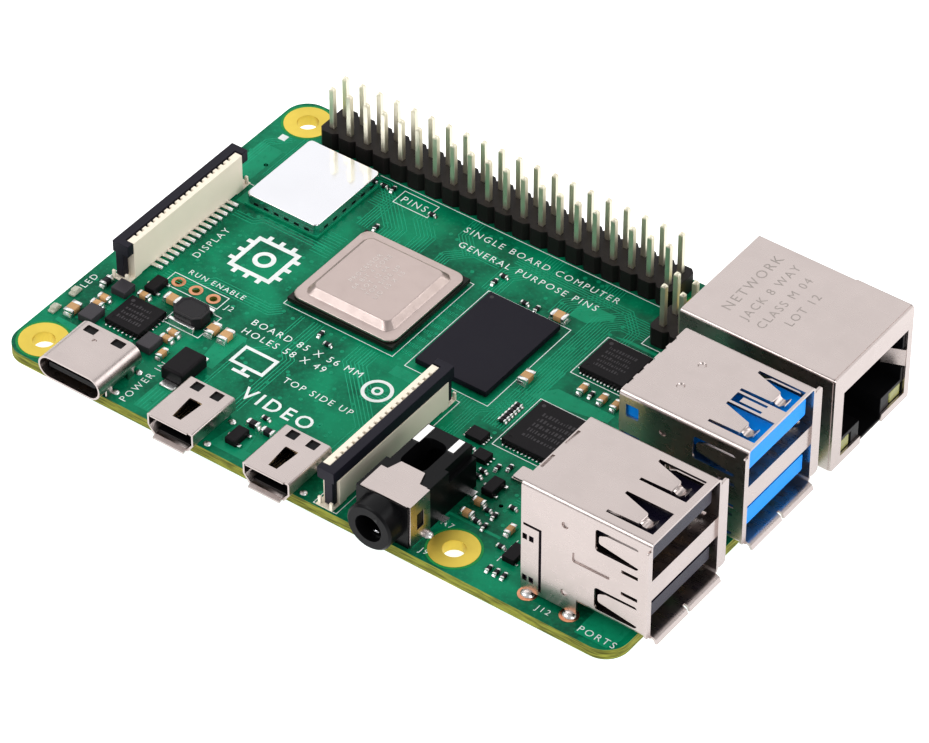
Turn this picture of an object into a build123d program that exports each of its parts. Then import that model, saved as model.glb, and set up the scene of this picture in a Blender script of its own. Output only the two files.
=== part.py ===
"""Single board computer: a small circuit board with its chips, headers and sockets.

The origin is the centre of the four mounting holes, on the underside of the board.
+X runs towards the stacked ports, +Y towards the long pin header and +Z up.
The layout is measured from the board's corner beside the power socket, and heights
from the board's top face.
"""

import os

from build123d import *

os.makedirs("parts", exist_ok=True)

# Board and its mounting holes
BOARD_LENGTH = 85.0
BOARD_WIDTH = 56.0
BOARD_THICK = 1.4
BOARD_CORNER = 3.0
HOLE_SPAN_X = 58.0
HOLE_SPAN_Y = 49.0
HOLE_INSET = 3.5
HOLE_RADIUS = 1.35
PAD_RADIUS = 2.95
PAD_THICK = 0.04
TEST_PADS = [(9.5, 20.45), (12.05, 20.45), (14.6, 20.45)]
TEST_HOLE_RADIUS = 0.45
TEST_PAD_RADIUS = 0.85
CORNER_X = HOLE_INSET + HOLE_SPAN_X / 2
CORNER_Y = HOLE_INSET + HOLE_SPAN_Y / 2
TAIL = 1.5  # how far pins, tabs and the card socket stand below the board

# Pin headers
PITCH = 2.54
PIN_SIZE = 0.64
PIN_HOLE_RADIUS = 0.5
HEADER_HEIGHT = 2.54
HEADER_NOTCH = 0.75
LONG_HEADER = (32.5, 52.5, 20, 2)
LONG_PIN_TOP = 8.4
POWER_HEADER = (61.5, 46.3, 2, 2)
POWER_PIN_TOP = 8.5

# Processor, memory and wireless module
PROCESSOR = (29.3, 32.5)
SUBSTRATE_SIZE = 15.0
BALL_HEIGHT = 0.35
SUBSTRATE_THICK = 0.55
LID_FLANGE = 14.6
LID_FLANGE_THICK = 0.45
LID_RAISED = 12.4
LID_RISE = 0.91
LID_SLOPE = 41.0
DIE_SIZE = 8.4
DIE_THICK = 0.7
MEMORY = (44.95, 32.35)
MEMORY_SIZE = (9.9, 14.4)
MEMORY_HEIGHT = 1.0
WIRELESS = (12.27, 42.3)
WIRELESS_SIZE = (10.75, 12.7)
WIRELESS_BASE = 0.3
WIRELESS_HEIGHT = 1.8

# Flat chips with leads on four sides: centre, width, length, height, leads on each side
POWER_CHIP = (9.7, 12.4, 5.0, 5.0, 0.8, 8)
PORT_CHIP = (59.6, 24.2, 8.0, 7.8, 0.85, 15)
NETWORK_CHIP = (58.6, 38.2, 6.0, 6.0, 0.85, 12)
SIDE_LEAD_CHIPS = [
    (52.9, 19.5, 2.2, 1.8, 0.7, 4),
    (67.5, 6.4, 1.6, 2.6, 0.8, 3),
    (55.4, 17.0, 1.8, 1.6, 0.7, 3),
]
LEAD_WIDTH = 0.24
LEAD_LENGTH = 0.4
LEAD_THICK = 0.2

# Power parts
INDUCTOR = (14.85, 16.25)
DIODE = (19.9, 8.55)
GREY_INDUCTORS = [(5.4, 9.7), (13.9, 9.7)]
CAN_PARTS = [(5.5, 15.3)]

# Small parts: length, width and height, then where they stand along X and along Y
LARGE_CHIP = (2.0, 1.25, 0.85)
MEDIUM_CHIP = (1.6, 0.8, 0.75)
TINY_CHIP = (1.0, 0.5, 0.45)
LARGE_CAPACITORS = ([(11.2, 17.3), (48.6, 41.2)], [(3.0, 9.3), (18.2, 15.9), (20.1, 15.9), (51.7, 30.5)])
MEDIUM_CAPACITORS = (
    [(4.7, 12.9), (4.7, 11.6), (14.9, 12.8), (14.9, 11.6), (8.1, 15.9), (59.5, 10.8), (59.5, 8.6)],
    [(16.1, 9.3), (57.9, 32.7), (60.7, 32.6), (62.5, 32.6), (64.9, 9.2)],
)
MEDIUM_RESISTORS = ([(33.95, 6.0), (31.8, 6.1)], [(3.0, 15.3)])
TINY_RESISTORS = (
    [(39.2, 43.3), (30.1, 21.8), (18.2, 48.2), (25.9, 47.3), (43.9, 40.9), (60.95, 10.4), (60.95, 8.3)]
    + [(65.5, 6.6), (63.0, 12.3), (32.2, 7.8), (56.8, 14.2), (56.8, 15.2), (53.6, 17.4)]
    + [(53.6, 23.2 + 0.62 * row) for row in range(6)],
    [(38.9, 41.9), (28.4, 22.8), (19.4, 48.4), (22.0, 41.6), (45.6, 40.9), (59.15, 32.6), (62.1, 10.1)]
    + [(58.9, 17.4), (62.2, 8.1), (66.5, 3.1), (67.5, 3.1), (68.5, 3.1), (57.8, 16.6)],
)
SOT_PARTS = [(31.6, 3.4), (59.4, 13.6), (8.1, 18.1)]
SOT_SIZE = (1.5, 2.6, 0.95)
LIGHTS = [(1.1, 12.0), (1.1, 8.3)]
CRYSTAL = (60.8, 17.2)

# Power and video sockets on the long edge
POWER_SOCKET_X = 11.2
POWER_SHELL = (8.94, 3.2)
POWER_SHELL_FRONT = -1.2
POWER_SHELL_LENGTH = 7.5
VIDEO_SOCKETS = [26.05, 39.55]
VIDEO_SHELL = (6.5, 2.9)
VIDEO_FRONT = -1.5
VIDEO_LENGTH = 7.6
SHEET = 0.25

# Audio jack
JACK_X = 54.0
JACK_WIDTH = 7.0
JACK_HEIGHT = 5.8
JACK_FRONT = 0.5
JACK_BACK = 13.0
BARREL_RADIUS = 3.0
BARREL_FRONT = -2.0
JACK_BORE_RADIUS = 1.75
JACK_AXIS = 3.0

# Flat cable connectors: the lead side is local +X
DISPLAY_CONNECTOR = (3.95, 28.0, 0)
CAMERA_CONNECTOR = (46.2, 11.65, 180)
RIBBON_CONTACTS = 15
RIBBON_PITCH = 1.0
RIBBON_DEPTH = 2.3
RIBBON_LENGTH = 20.0
RIBBON_WALL_HEIGHT = 5.2
RIBBON_LOW_WALL = 3.7
RIBBON_SLOT = (-0.55, 0.15)
LATCH_LENGTH = 22.1
LATCH_TOP = 5.35
LATCH_ARM = 0.85
LATCH_GAP = 0.1

# Stacked double ports
STACK_REAR = 71.1
STACK_LENGTH = 16.7
STACK_WIDTH = 13.0
STACK_TOP = 16.0
STACK_FLOOR = 2.2
STACK_SKIRT = 0.6
STACK_SKIRT_LENGTH = 7.3
STACK_SHEET = 0.3
STACK_BEND = 0.6
STACK_BAND = (7.4, 10.2)
SLOW_STACK_Y = 9.0
FAST_STACK_Y = 27.0
TONGUE_WIDTH = 11.1
TONGUE_FRONT = 16.1

# Network jack
NETWORK_REAR = 67.2
NETWORK_FRONT = 87.7
NETWORK_Y = 45.7
NETWORK_WIDTH = 15.9
NETWORK_TOP = 13.5
NETWORK_MOUTH = (13.0, 1.2, 10.5)
NETWORK_NOTCH = 4.4

# Card socket on the underside
CARD_SOCKET_Y = 28.0
CARD_SOCKET = (14.0, 12.0)


def on_board(x, y, up=0.0):
    """Level plane above the board's top face, at a point measured from the board's corner."""
    return Plane((x - CORNER_X, y - CORNER_Y, BOARD_THICK + up))


def looking_out(x, y, up=0.0):
    """Upright plane that faces -Y: its own x runs along +X and its own y runs up."""
    origin = (x - CORNER_X, y - CORNER_Y, BOARD_THICK + up)
    return Plane(origin, x_dir=(1, 0, 0), z_dir=(0, -1, 0))


def looking_right(x, y, up=0.0):
    """Upright plane that faces +X: its own x runs along +Y and its own y runs up."""
    origin = (x - CORNER_X, y - CORNER_Y, BOARD_THICK + up)
    return Plane(origin, x_dir=(0, 1, 0), z_dir=(1, 0, 0))


# ---------------------------------------------------------------- board
STACK_TABS = [
    (STACK_REAR + along, y + side * (STACK_WIDTH - STACK_SHEET) / 2)
    for y in (SLOW_STACK_Y, FAST_STACK_Y)
    for along in (0.9, 6.4)
    for side in (-1, 1)
]
NETWORK_TAB_X = (71.5, 83.2)
NETWORK_TABS = [
    (along, NETWORK_Y + side * (NETWORK_WIDTH - SHEET) / 2)
    for along in NETWORK_TAB_X
    for side in (-1, 1)
]

with BuildPart() as circuit_board:
    with BuildSketch(Plane((BOARD_LENGTH / 2 - CORNER_X, BOARD_WIDTH / 2 - CORNER_Y, 0))):
        RectangleRounded(BOARD_LENGTH, BOARD_WIDTH, BOARD_CORNER)
    extrude(amount=BOARD_THICK)
    with GridLocations(HOLE_SPAN_X, HOLE_SPAN_Y, 2, 2):
        Hole(HOLE_RADIUS)
    for header_x, header_y, columns, rows in (LONG_HEADER, POWER_HEADER):
        with BuildSketch(on_board(header_x, header_y)):
            with GridLocations(PITCH, PITCH, columns, rows):
                Circle(PIN_HOLE_RADIUS)
    for stack_y in (SLOW_STACK_Y, FAST_STACK_Y):
        with BuildSketch(on_board(STACK_REAR + 3.2, stack_y)):
            with GridLocations(2.6, 2.5, 2, 4):
                Circle(PIN_HOLE_RADIUS)
    with BuildSketch(on_board(NETWORK_REAR + 4.8, NETWORK_Y)):
        with GridLocations(2.54, 1.27, 2, 8):
            Circle(0.45)
    with BuildSketch(on_board(0, 0)):
        with Locations(*TEST_PADS):
            Circle(TEST_HOLE_RADIUS)
        with Locations(*STACK_TABS, *NETWORK_TABS):
            SlotOverall(1.6, 0.8)
    extrude(amount=-BOARD_THICK, mode=Mode.SUBTRACT)

with BuildPart() as plated_pads:
    for face_height in (0.0, -BOARD_THICK - PAD_THICK):
        with BuildSketch(Plane((0, 0, BOARD_THICK + face_height))):
            with GridLocations(HOLE_SPAN_X, HOLE_SPAN_Y, 2, 2):
                Circle(PAD_RADIUS)
                Circle(HOLE_RADIUS, mode=Mode.SUBTRACT)
        extrude(amount=PAD_THICK)
    with BuildSketch(on_board(0, 0)):
        with Locations(*TEST_PADS):
            Circle(TEST_PAD_RADIUS)
            Circle(TEST_HOLE_RADIUS, mode=Mode.SUBTRACT)
    extrude(amount=PAD_THICK)


# ---------------------------------------------------------------- pin headers
def header_base(x, y, columns, rows):
    """Moulded base of a pin header: a notch between pins, a square hole for each pin."""
    with BuildPart() as base:
        with BuildSketch(on_board(x, y)):
            Rectangle(PITCH * columns, PITCH * rows)
            with GridLocations(PITCH, PITCH * rows, columns + 1, 2):
                Rectangle(HEADER_NOTCH, HEADER_NOTCH, rotation=45, mode=Mode.SUBTRACT)
            with GridLocations(PITCH, PITCH, columns, rows):
                Rectangle(PIN_SIZE, PIN_SIZE, mode=Mode.SUBTRACT)
        extrude(amount=HEADER_HEIGHT)
    return base


def header_pins(x, y, columns, rows, top, tip):
    """Square pins that run from below the board to a tapered tip."""
    with BuildPart() as pins:
        with BuildSketch(on_board(x, y, -BOARD_THICK - TAIL)):
            with GridLocations(PITCH, PITCH, columns, rows):
                Rectangle(PIN_SIZE, PIN_SIZE)
        extrude(amount=BOARD_THICK + TAIL + top - tip)
        with BuildSketch(on_board(x, y, top - tip)):
            with GridLocations(PITCH, PITCH, columns, rows):
                Rectangle(PIN_SIZE, PIN_SIZE)
        extrude(amount=tip, taper=16)
    return pins


gpio_header_base = header_base(*LONG_HEADER)
gpio_header_pins = header_pins(*LONG_HEADER, LONG_PIN_TOP, 0.7)
power_header_base = header_base(*POWER_HEADER)
power_header_pins = header_pins(*POWER_HEADER, POWER_PIN_TOP, 0.45)

# ---------------------------------------------------------------- processor
with BuildPart() as solder_balls:
    with BuildSketch(on_board(*PROCESSOR)):
        with GridLocations(1.1, 1.1, 13, 13):
            Circle(0.28)
    extrude(amount=BALL_HEIGHT)
    with BuildSketch(on_board(*MEMORY)):
        with GridLocations(1.15, 1.15, 8, 12):
            Circle(0.25)
    extrude(amount=0.25)

with BuildPart() as processor_substrate:
    with BuildSketch(on_board(*PROCESSOR, BALL_HEIGHT)):
        Rectangle(SUBSTRATE_SIZE, SUBSTRATE_SIZE)
    extrude(amount=SUBSTRATE_THICK)

LID_BASE = BALL_HEIGHT + SUBSTRATE_THICK
with BuildPart() as processor_lid:
    with BuildSketch(on_board(*PROCESSOR, LID_BASE)):
        RectangleRounded(LID_FLANGE, LID_FLANGE, 1.2)
    extrude(amount=LID_FLANGE_THICK)
    with BuildSketch(on_board(*PROCESSOR, LID_BASE + LID_FLANGE_THICK)):
        RectangleRounded(LID_RAISED, LID_RAISED, 0.9)
    extrude(amount=LID_RISE, taper=LID_SLOPE)
    with BuildSketch(on_board(*PROCESSOR, LID_BASE)):
        RectangleRounded(DIE_SIZE + 1.4, DIE_SIZE + 1.4, 0.5)
    extrude(amount=DIE_THICK, mode=Mode.SUBTRACT)

with BuildPart() as processor_die:
    with BuildSketch(on_board(*PROCESSOR, LID_BASE)):
        Rectangle(DIE_SIZE, DIE_SIZE)
    extrude(amount=DIE_THICK)

with BuildPart() as memory_package:
    with BuildSketch(on_board(*MEMORY, 0.25)):
        Rectangle(*MEMORY_SIZE)
    extrude(amount=MEMORY_HEIGHT - 0.25)
    chamfer(memory_package.faces().sort_by(Axis.Z)[-1].edges(), 0.05)

# ---------------------------------------------------------------- wireless module
with BuildPart() as wireless_base:
    with BuildSketch(on_board(*WIRELESS)):
        Rectangle(*WIRELESS_SIZE)
    extrude(amount=WIRELESS_BASE)

with BuildPart() as wireless_shield:
    with BuildSketch(on_board(*WIRELESS, WIRELESS_BASE)):
        RectangleRounded(WIRELESS_SIZE[0] - 0.3, WIRELESS_SIZE[1] - 0.3, 0.6)
    extrude(amount=WIRELESS_HEIGHT - WIRELESS_BASE)
    fillet(wireless_shield.faces().sort_by(Axis.Z)[-1].edges(), 0.15)
    with BuildSketch(on_board(*WIRELESS, WIRELESS_BASE)):
        RectangleRounded(WIRELESS_SIZE[0] - 0.6, WIRELESS_SIZE[1] - 0.6, 0.45)
    extrude(amount=WIRELESS_HEIGHT - WIRELESS_BASE - 0.15, mode=Mode.SUBTRACT)

with BuildPart() as wireless_chip:
    with BuildSketch(on_board(WIRELESS[0], WIRELESS[1] + 1.5, WIRELESS_BASE)):
        Rectangle(5.0, 5.0)
    extrude(amount=0.8)


# ---------------------------------------------------------------- chips with leads
def chip_body(x, y, width, length, height):
    """Moulded chip body with softened top edges and a small round first-pin mark."""
    with BuildPart() as body:
        with BuildSketch(on_board(x, y, 0.03)):
            Rectangle(width, length)
        extrude(amount=height - 0.03)
        chamfer(body.faces().sort_by(Axis.Z)[-1].edges(), 0.06)
        with BuildSketch(on_board(x - width / 2 + 0.7, y - length / 2 + 0.7, height)):
            Circle(0.2)
        extrude(amount=-0.04, mode=Mode.SUBTRACT)
    return body


power_manager_chip = chip_body(*POWER_CHIP[:5])
port_controller_chip = chip_body(*PORT_CHIP[:5])
network_chip = chip_body(*NETWORK_CHIP[:5])

with BuildPart() as logic_chips:
    for chip_x, chip_y, width, length, height, _ in SIDE_LEAD_CHIPS:
        with BuildSketch(on_board(chip_x, chip_y, 0.03)):
            Rectangle(width, length)
        extrude(amount=height - 0.03)

with BuildPart() as chip_leads:
    for chip_x, chip_y, width, length, _, count in (POWER_CHIP, PORT_CHIP, NETWORK_CHIP):
        step_x = (width - 0.8) / (count - 1)
        step_y = (length - 0.8) / (count - 1)
        with BuildSketch(on_board(chip_x, chip_y)):
            with GridLocations(step_x, length + LEAD_LENGTH, count, 2):
                Rectangle(LEAD_WIDTH, LEAD_LENGTH)
            with GridLocations(width + LEAD_LENGTH, step_y, 2, count):
                Rectangle(LEAD_LENGTH, LEAD_WIDTH)
        extrude(amount=LEAD_THICK)
    for chip_x, chip_y, width, length, _, count in SIDE_LEAD_CHIPS:
        with BuildSketch(on_board(chip_x, chip_y)):
            with GridLocations(width + LEAD_LENGTH, (length - 0.5) / (count - 1), 2, count):
                Rectangle(LEAD_LENGTH, LEAD_WIDTH)
        extrude(amount=LEAD_THICK)
    for part_x, part_y in SOT_PARTS:
        with BuildSketch(on_board(part_x, part_y)):
            with Locations((SOT_SIZE[0] / 2 + 0.25, 0.95), (SOT_SIZE[0] / 2 + 0.25, -0.95)):
                Rectangle(0.5, 0.4)
            with Locations((-SOT_SIZE[0] / 2 - 0.25, 0)):
                Rectangle(0.5, 0.4)
        extrude(amount=0.35)

with BuildPart() as transistor_bodies:
    with BuildSketch(on_board(0, 0, 0.05)):
        with Locations(*SOT_PARTS):
            Rectangle(SOT_SIZE[0], SOT_SIZE[1])
    extrude(amount=SOT_SIZE[2] - 0.05)
    chamfer(transistor_bodies.faces().filter_by(Axis.Z).group_by(Axis.Z)[-1].edges(), 0.12)

# ---------------------------------------------------------------- power parts
with BuildPart() as power_inductor:
    with BuildSketch(on_board(*INDUCTOR, 0.1)):
        RectangleRounded(4.1, 3.3, 0.3)
    extrude(amount=1.6)
    chamfer(power_inductor.faces().sort_by(Axis.Z)[-1].edges(), 0.15)

with BuildPart() as surge_diode:
    with BuildSketch(on_board(*DIODE, 0.1)):
        Rectangle(3.05, 4.5)
    extrude(amount=1.8)
    chamfer(surge_diode.faces().sort_by(Axis.Z)[-1].edges(), 0.25)

with BuildPart() as power_terminals:
    with BuildSketch(on_board(*INDUCTOR)):
        with GridLocations(0, 3.3 + 0.5, 1, 2):
            Rectangle(3.6, 0.5)
    extrude(amount=0.9)
    with BuildSketch(on_board(*DIODE)):
        with GridLocations(0, 4.5 + 1.1, 1, 2):
            Rectangle(2.0, 1.1)
    extrude(amount=0.3)

with BuildPart() as small_inductors:
    with BuildSketch(on_board(0, 0, 0.05)):
        with Locations(*GREY_INDUCTORS):
            Rectangle(2.0, 2.5)
        with Locations(*CAN_PARTS):
            Rectangle(2.0, 2.0)
    extrude(amount=1.0)
    chamfer(small_inductors.faces().filter_by(Axis.Z).group_by(Axis.Z)[-1].edges(), 0.08)


# ---------------------------------------------------------------- small parts with two ends
def two_ended(groups):
    """Bodies and end caps of small parts: each group is a size and its places along X and Y."""
    with BuildPart() as bodies:
        for (length, width, height), (along_x, along_y) in groups:
            middle = length * 0.5
            with BuildSketch(on_board(0, 0, 0.03)):
                if along_x:
                    with Locations(*along_x):
                        Rectangle(middle, width)
                if along_y:
                    with Locations(*along_y):
                        Rectangle(width, middle)
            extrude(amount=height - 0.03)
    with BuildPart() as terminals:
        for (length, width, height), (along_x, along_y) in groups:
            cap = length * 0.25
            reach = (length - cap) / 2
            with BuildSketch(on_board(0, 0)):
                for x, y in along_x:
                    with Locations((x - reach, y), (x + reach, y)):
                        Rectangle(cap, width)
                for x, y in along_y:
                    with Locations((x, y - reach), (x, y + reach)):
                        Rectangle(width, cap)
            extrude(amount=height)
    return bodies, terminals


capacitor_bodies, capacitor_terminals = two_ended(
    [(LARGE_CHIP, LARGE_CAPACITORS), (MEDIUM_CHIP, MEDIUM_CAPACITORS)]
)
resistor_bodies, resistor_terminals = two_ended(
    [(MEDIUM_CHIP, MEDIUM_RESISTORS), (TINY_CHIP, TINY_RESISTORS)]
)

with BuildPart() as indicator_lights:
    with BuildSketch(on_board(0, 0)):
        with Locations(*LIGHTS):
            Rectangle(0.8, 1.6)
    extrude(amount=0.3)
    with BuildSketch(on_board(0, 0, 0.3)):
        with Locations(*LIGHTS):
            Rectangle(0.8, 0.9)
    extrude(amount=0.35, taper=8)

with BuildPart() as clock_crystal:
    with BuildSketch(on_board(*CRYSTAL)):
        Rectangle(1.6, 2.2)
    extrude(amount=0.35)
    with BuildSketch(on_board(*CRYSTAL, 0.35)):
        RectangleRounded(1.4, 2.0, 0.2)
    extrude(amount=0.25)

# ---------------------------------------------------------------- power socket
POWER_MIDDLE = POWER_SHELL[1] / 2
POWER_BACK = POWER_SHELL_FRONT + POWER_SHELL_LENGTH
with BuildPart() as power_socket_shell:
    with BuildSketch(looking_out(POWER_SOCKET_X, POWER_SHELL_FRONT + POWER_SHELL_LENGTH, POWER_MIDDLE)):
        SlotOverall(*POWER_SHELL)
    extrude(amount=POWER_SHELL_LENGTH)
    with BuildSketch(looking_out(POWER_SOCKET_X, POWER_BACK - SHEET, POWER_MIDDLE)):
        SlotOverall(POWER_SHELL[0] - 2 * SHEET, POWER_SHELL[1] - 2 * SHEET)
    extrude(amount=POWER_SHELL_LENGTH, mode=Mode.SUBTRACT)
    with BuildSketch(on_board(POWER_SOCKET_X, 5.25, POWER_SHELL[1])):
        with GridLocations(4.0, 0, 2, 1):
            RectangleRounded(1.6, 1.1, 0.15)
    extrude(amount=-SHEET * 1.5, mode=Mode.SUBTRACT)
    with BuildSketch(on_board(POWER_SOCKET_X - 0.5, 4.0, POWER_SHELL[1])):
        Circle(0.3)
    extrude(amount=-0.1, mode=Mode.SUBTRACT)
    for side in (-1, 1):
        with BuildSketch(on_board(POWER_SOCKET_X + side * (POWER_SHELL[0] / 2 - 0.2), 2.5)):
            with GridLocations(0, 3.8, 1, 2):
                Rectangle(0.25, 1.0)
        extrude(amount=1.5)

with BuildPart() as power_socket_tongue:
    with BuildSketch(looking_out(POWER_SOCKET_X, POWER_BACK - SHEET, POWER_MIDDLE)):
        SlotOverall(POWER_SHELL[0] - 2 * SHEET, POWER_SHELL[1] - 2 * SHEET)
    extrude(amount=1.2)
    with BuildSketch(looking_out(POWER_SOCKET_X, POWER_BACK - 1.4, POWER_MIDDLE)):
        RectangleRounded(6.7, 0.7, 0.2)
    extrude(amount=5.5)

with BuildPart() as power_socket_contacts:
    for face_up in (POWER_MIDDLE + 0.35, POWER_MIDDLE - 0.35 - 0.06):
        with BuildSketch(on_board(POWER_SOCKET_X, 1.9, face_up)):
            with GridLocations(0.5, 0, 12, 1):
                Rectangle(0.25, 4.2)
        extrude(amount=0.06)


# ---------------------------------------------------------------- video sockets
def video_outline(inset):
    """Socket mouth outline: square at the top, with the two lower corners cut off."""
    half = VIDEO_SHELL[0] / 2 - inset
    top = VIDEO_SHELL[1] - inset
    low = inset
    with BuildSketch() as outline:
        with BuildLine():
            Polyline((-half, 1.2), (-half, top), (half, top), (half, 1.2))
            Polyline((half, 1.2), (half - 0.8, low), (-half + 0.8, low), (-half, 1.2))
        make_face()
        fillet(outline.vertices(), 0.3 if inset == 0 else 0.15)
    return outline.sketch


def video_finger():
    """Contact spring in the top of a video socket, tapering to its free end at the mouth."""
    with BuildPart() as finger:
        with BuildSketch(Plane.XY):
            with BuildLine():
                Polyline((-0.65, 0), (0.65, 0), (0.3, -3.15), (-0.3, -3.15), close=True)
            make_face()
        extrude(amount=-1.0)
        with BuildSketch(Plane.YZ):
            with BuildLine():
                Polyline((0, 0), (-2.4, -0.3), (-2.8, -0.15), (-3.2, -0.4), (-3.2, -0.65), close=False)
                Polyline((-3.2, -0.65), (-2.8, -0.4), (-2.4, -0.55), (0, -SHEET))
                Line((0, -SHEET), (0, 0))
            make_face()
        extrude(amount=1, both=True, mode=Mode.INTERSECT)
    return finger.part


VIDEO_OUTSIDE = video_outline(0)
VIDEO_INSIDE = video_outline(SHEET)
VIDEO_SPRING = video_finger()


def video_shell(x):
    """Folded steel shell with two contact springs, two windows and a flared lower lip."""
    back = VIDEO_FRONT + VIDEO_LENGTH
    with BuildPart() as shell:
        with BuildSketch(looking_out(x, back)):
            add(VIDEO_OUTSIDE)
        extrude(amount=VIDEO_LENGTH)
        with BuildSketch(looking_out(x, back - SHEET)):
            add(VIDEO_INSIDE)
        extrude(amount=VIDEO_LENGTH, mode=Mode.SUBTRACT)
        with BuildSketch(on_board(x, 1.45, VIDEO_SHELL[1])):
            with GridLocations(3.0, 0, 2, 1):
                with BuildLine():
                    Polyline((-0.9, 1.75), (0.9, 1.75), (0.58, -1.75), (-0.58, -1.75), close=True)
                make_face()
        extrude(amount=-2 * SHEET, mode=Mode.SUBTRACT)
        with BuildSketch(on_board(x, 5.15, VIDEO_SHELL[1])):
            with GridLocations(2.8, 0, 2, 1):
                RectangleRounded(1.3, 1.3, 0.1)
        extrude(amount=-2 * SHEET, mode=Mode.SUBTRACT)
        spring_roots = [on_board(x + side * 1.5, 3.2, VIDEO_SHELL[1]).location for side in (-1, 1)]
        with Locations(*spring_roots):
            add(VIDEO_SPRING)
        with BuildSketch(looking_right(x - 2.2, VIDEO_FRONT)):
            with BuildLine():
                Polyline((0.02, 0.05), (-0.5, -0.12), (-0.5, 0.1), (0.02, 0.3), close=True)
            make_face()
        extrude(amount=4.4)
        with BuildSketch(looking_right(x - 2.6, VIDEO_FRONT)):
            with BuildLine():
                Polyline((0.02, 2.65), (-0.35, 2.85), (-0.35, 3.05), (0.02, 2.9), close=True)
            make_face()
        extrude(amount=5.2)
    return shell


def video_insert(x):
    """Moulded insulator: a block at the back and the tongue in the mouth."""
    back = VIDEO_FRONT + VIDEO_LENGTH - SHEET
    with BuildPart() as insert:
        with BuildSketch(looking_out(x, back)):
            add(VIDEO_INSIDE)
        extrude(amount=1.5)
        with BuildSketch(looking_out(x, back - 1.4, 1.15)):
            RectangleRounded(4.4, 0.6, 0.15)
        extrude(amount=4.6)
        with BuildSketch(looking_out(x, back - 1.4, SHEET + 0.14)):
            Rectangle(4.5, 0.24)
        extrude(amount=5.3)
    return insert


video_socket_1_shell = video_shell(VIDEO_SOCKETS[0])
video_socket_2_shell = video_shell(VIDEO_SOCKETS[1])
video_socket_1_insert = video_insert(VIDEO_SOCKETS[0])
video_socket_2_insert = video_insert(VIDEO_SOCKETS[1])

with BuildPart() as video_socket_contacts:
    for socket_x in VIDEO_SOCKETS:
        for face_up in (1.45, 0.85 - 0.06):
            with BuildSketch(on_board(socket_x, 2.0, face_up)):
                with GridLocations(0.42, 0, 10, 1):
                    Rectangle(0.2, 3.4)
            extrude(amount=0.06)

# ---------------------------------------------------------------- audio jack
JACK_DEPTH = JACK_BACK - JACK_FRONT
with BuildPart() as audio_jack_body:
    with BuildSketch(looking_out(JACK_X, JACK_BACK, JACK_HEIGHT / 2)):
        Rectangle(JACK_WIDTH, JACK_HEIGHT)
    extrude(amount=JACK_DEPTH)
    with BuildSketch(looking_out(JACK_X, JACK_FRONT, JACK_AXIS)):
        Circle(BARREL_RADIUS)
    extrude(amount=JACK_FRONT - BARREL_FRONT)
    chamfer(audio_jack_body.faces().sort_by(Axis.Y)[0].edges(), 0.25)
    with BuildSketch(on_board(JACK_X - 0.4, 8.6, JACK_HEIGHT)):
        RectangleRounded(3.4, 5.4, 1.2)
    extrude(amount=-JACK_HEIGHT + JACK_AXIS, taper=6, mode=Mode.SUBTRACT)
    with BuildSketch(on_board(JACK_X + JACK_WIDTH / 2 - 0.3, JACK_BACK - 2.2, JACK_HEIGHT)):
        Rectangle(0.6, 5.6)
    extrude(amount=-1.6, mode=Mode.SUBTRACT)
    with BuildSketch(on_board(JACK_X - JACK_WIDTH / 2 + 0.25, JACK_BACK - 3.5, JACK_HEIGHT)):
        Rectangle(0.5, 7.0)
    extrude(amount=-1.1, mode=Mode.SUBTRACT)
    with BuildSketch(looking_out(JACK_X, JACK_BACK - 1.2, JACK_AXIS)):
        Circle(JACK_BORE_RADIUS)
    extrude(amount=JACK_BACK - 1.2 - BARREL_FRONT, mode=Mode.SUBTRACT)

with BuildPart() as audio_jack_shield:
    with BuildSketch(on_board(JACK_X + 0.15, 2.95, JACK_HEIGHT)) as plate:
        with Locations((0, -0.45)):
            Rectangle(6.3, 3.8)
        with Locations((-0.1, 2.3)):
            Trapezoid(4.4, 1.8, 72)
    extrude(amount=0.22)
    with BuildSketch(looking_right(JACK_X + JACK_WIDTH / 2, 2.5)):
        with Locations((0, 3.0)):
            Rectangle(3.6, 6.0)
            Rectangle(1.2, 2.2, mode=Mode.SUBTRACT)
    extrude(amount=0.22)
    with BuildSketch(on_board(JACK_X + JACK_WIDTH / 2 + 0.01, 2.5, JACK_HEIGHT)):
        Rectangle(0.42, 3.6)
    extrude(amount=0.22)

with BuildPart() as audio_jack_contacts:
    with BuildSketch(on_board(JACK_X, JACK_BACK - 1.7, JACK_HEIGHT)):
        with Locations((-2.35, -0.05)):
            Rectangle(0.9, 2.9)
        with Locations((1.8, 0.35)):
            Rectangle(0.8, 2.2)
    extrude(amount=0.18)
    with BuildSketch(on_board(JACK_X, 9.0)):
        with GridLocations(JACK_WIDTH + 0.9, 5.2, 2, 2):
            Rectangle(0.9, 1.0)
    extrude(amount=0.3)


# ---------------------------------------------------------------- flat cable connectors
def ribbon_plane(connector, up=0.0):
    """Level plane at a connector, turned so that its lead side is local +X."""
    x, y, turn = connector
    return on_board(x, y, up).rotated((0, 0, turn))


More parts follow.
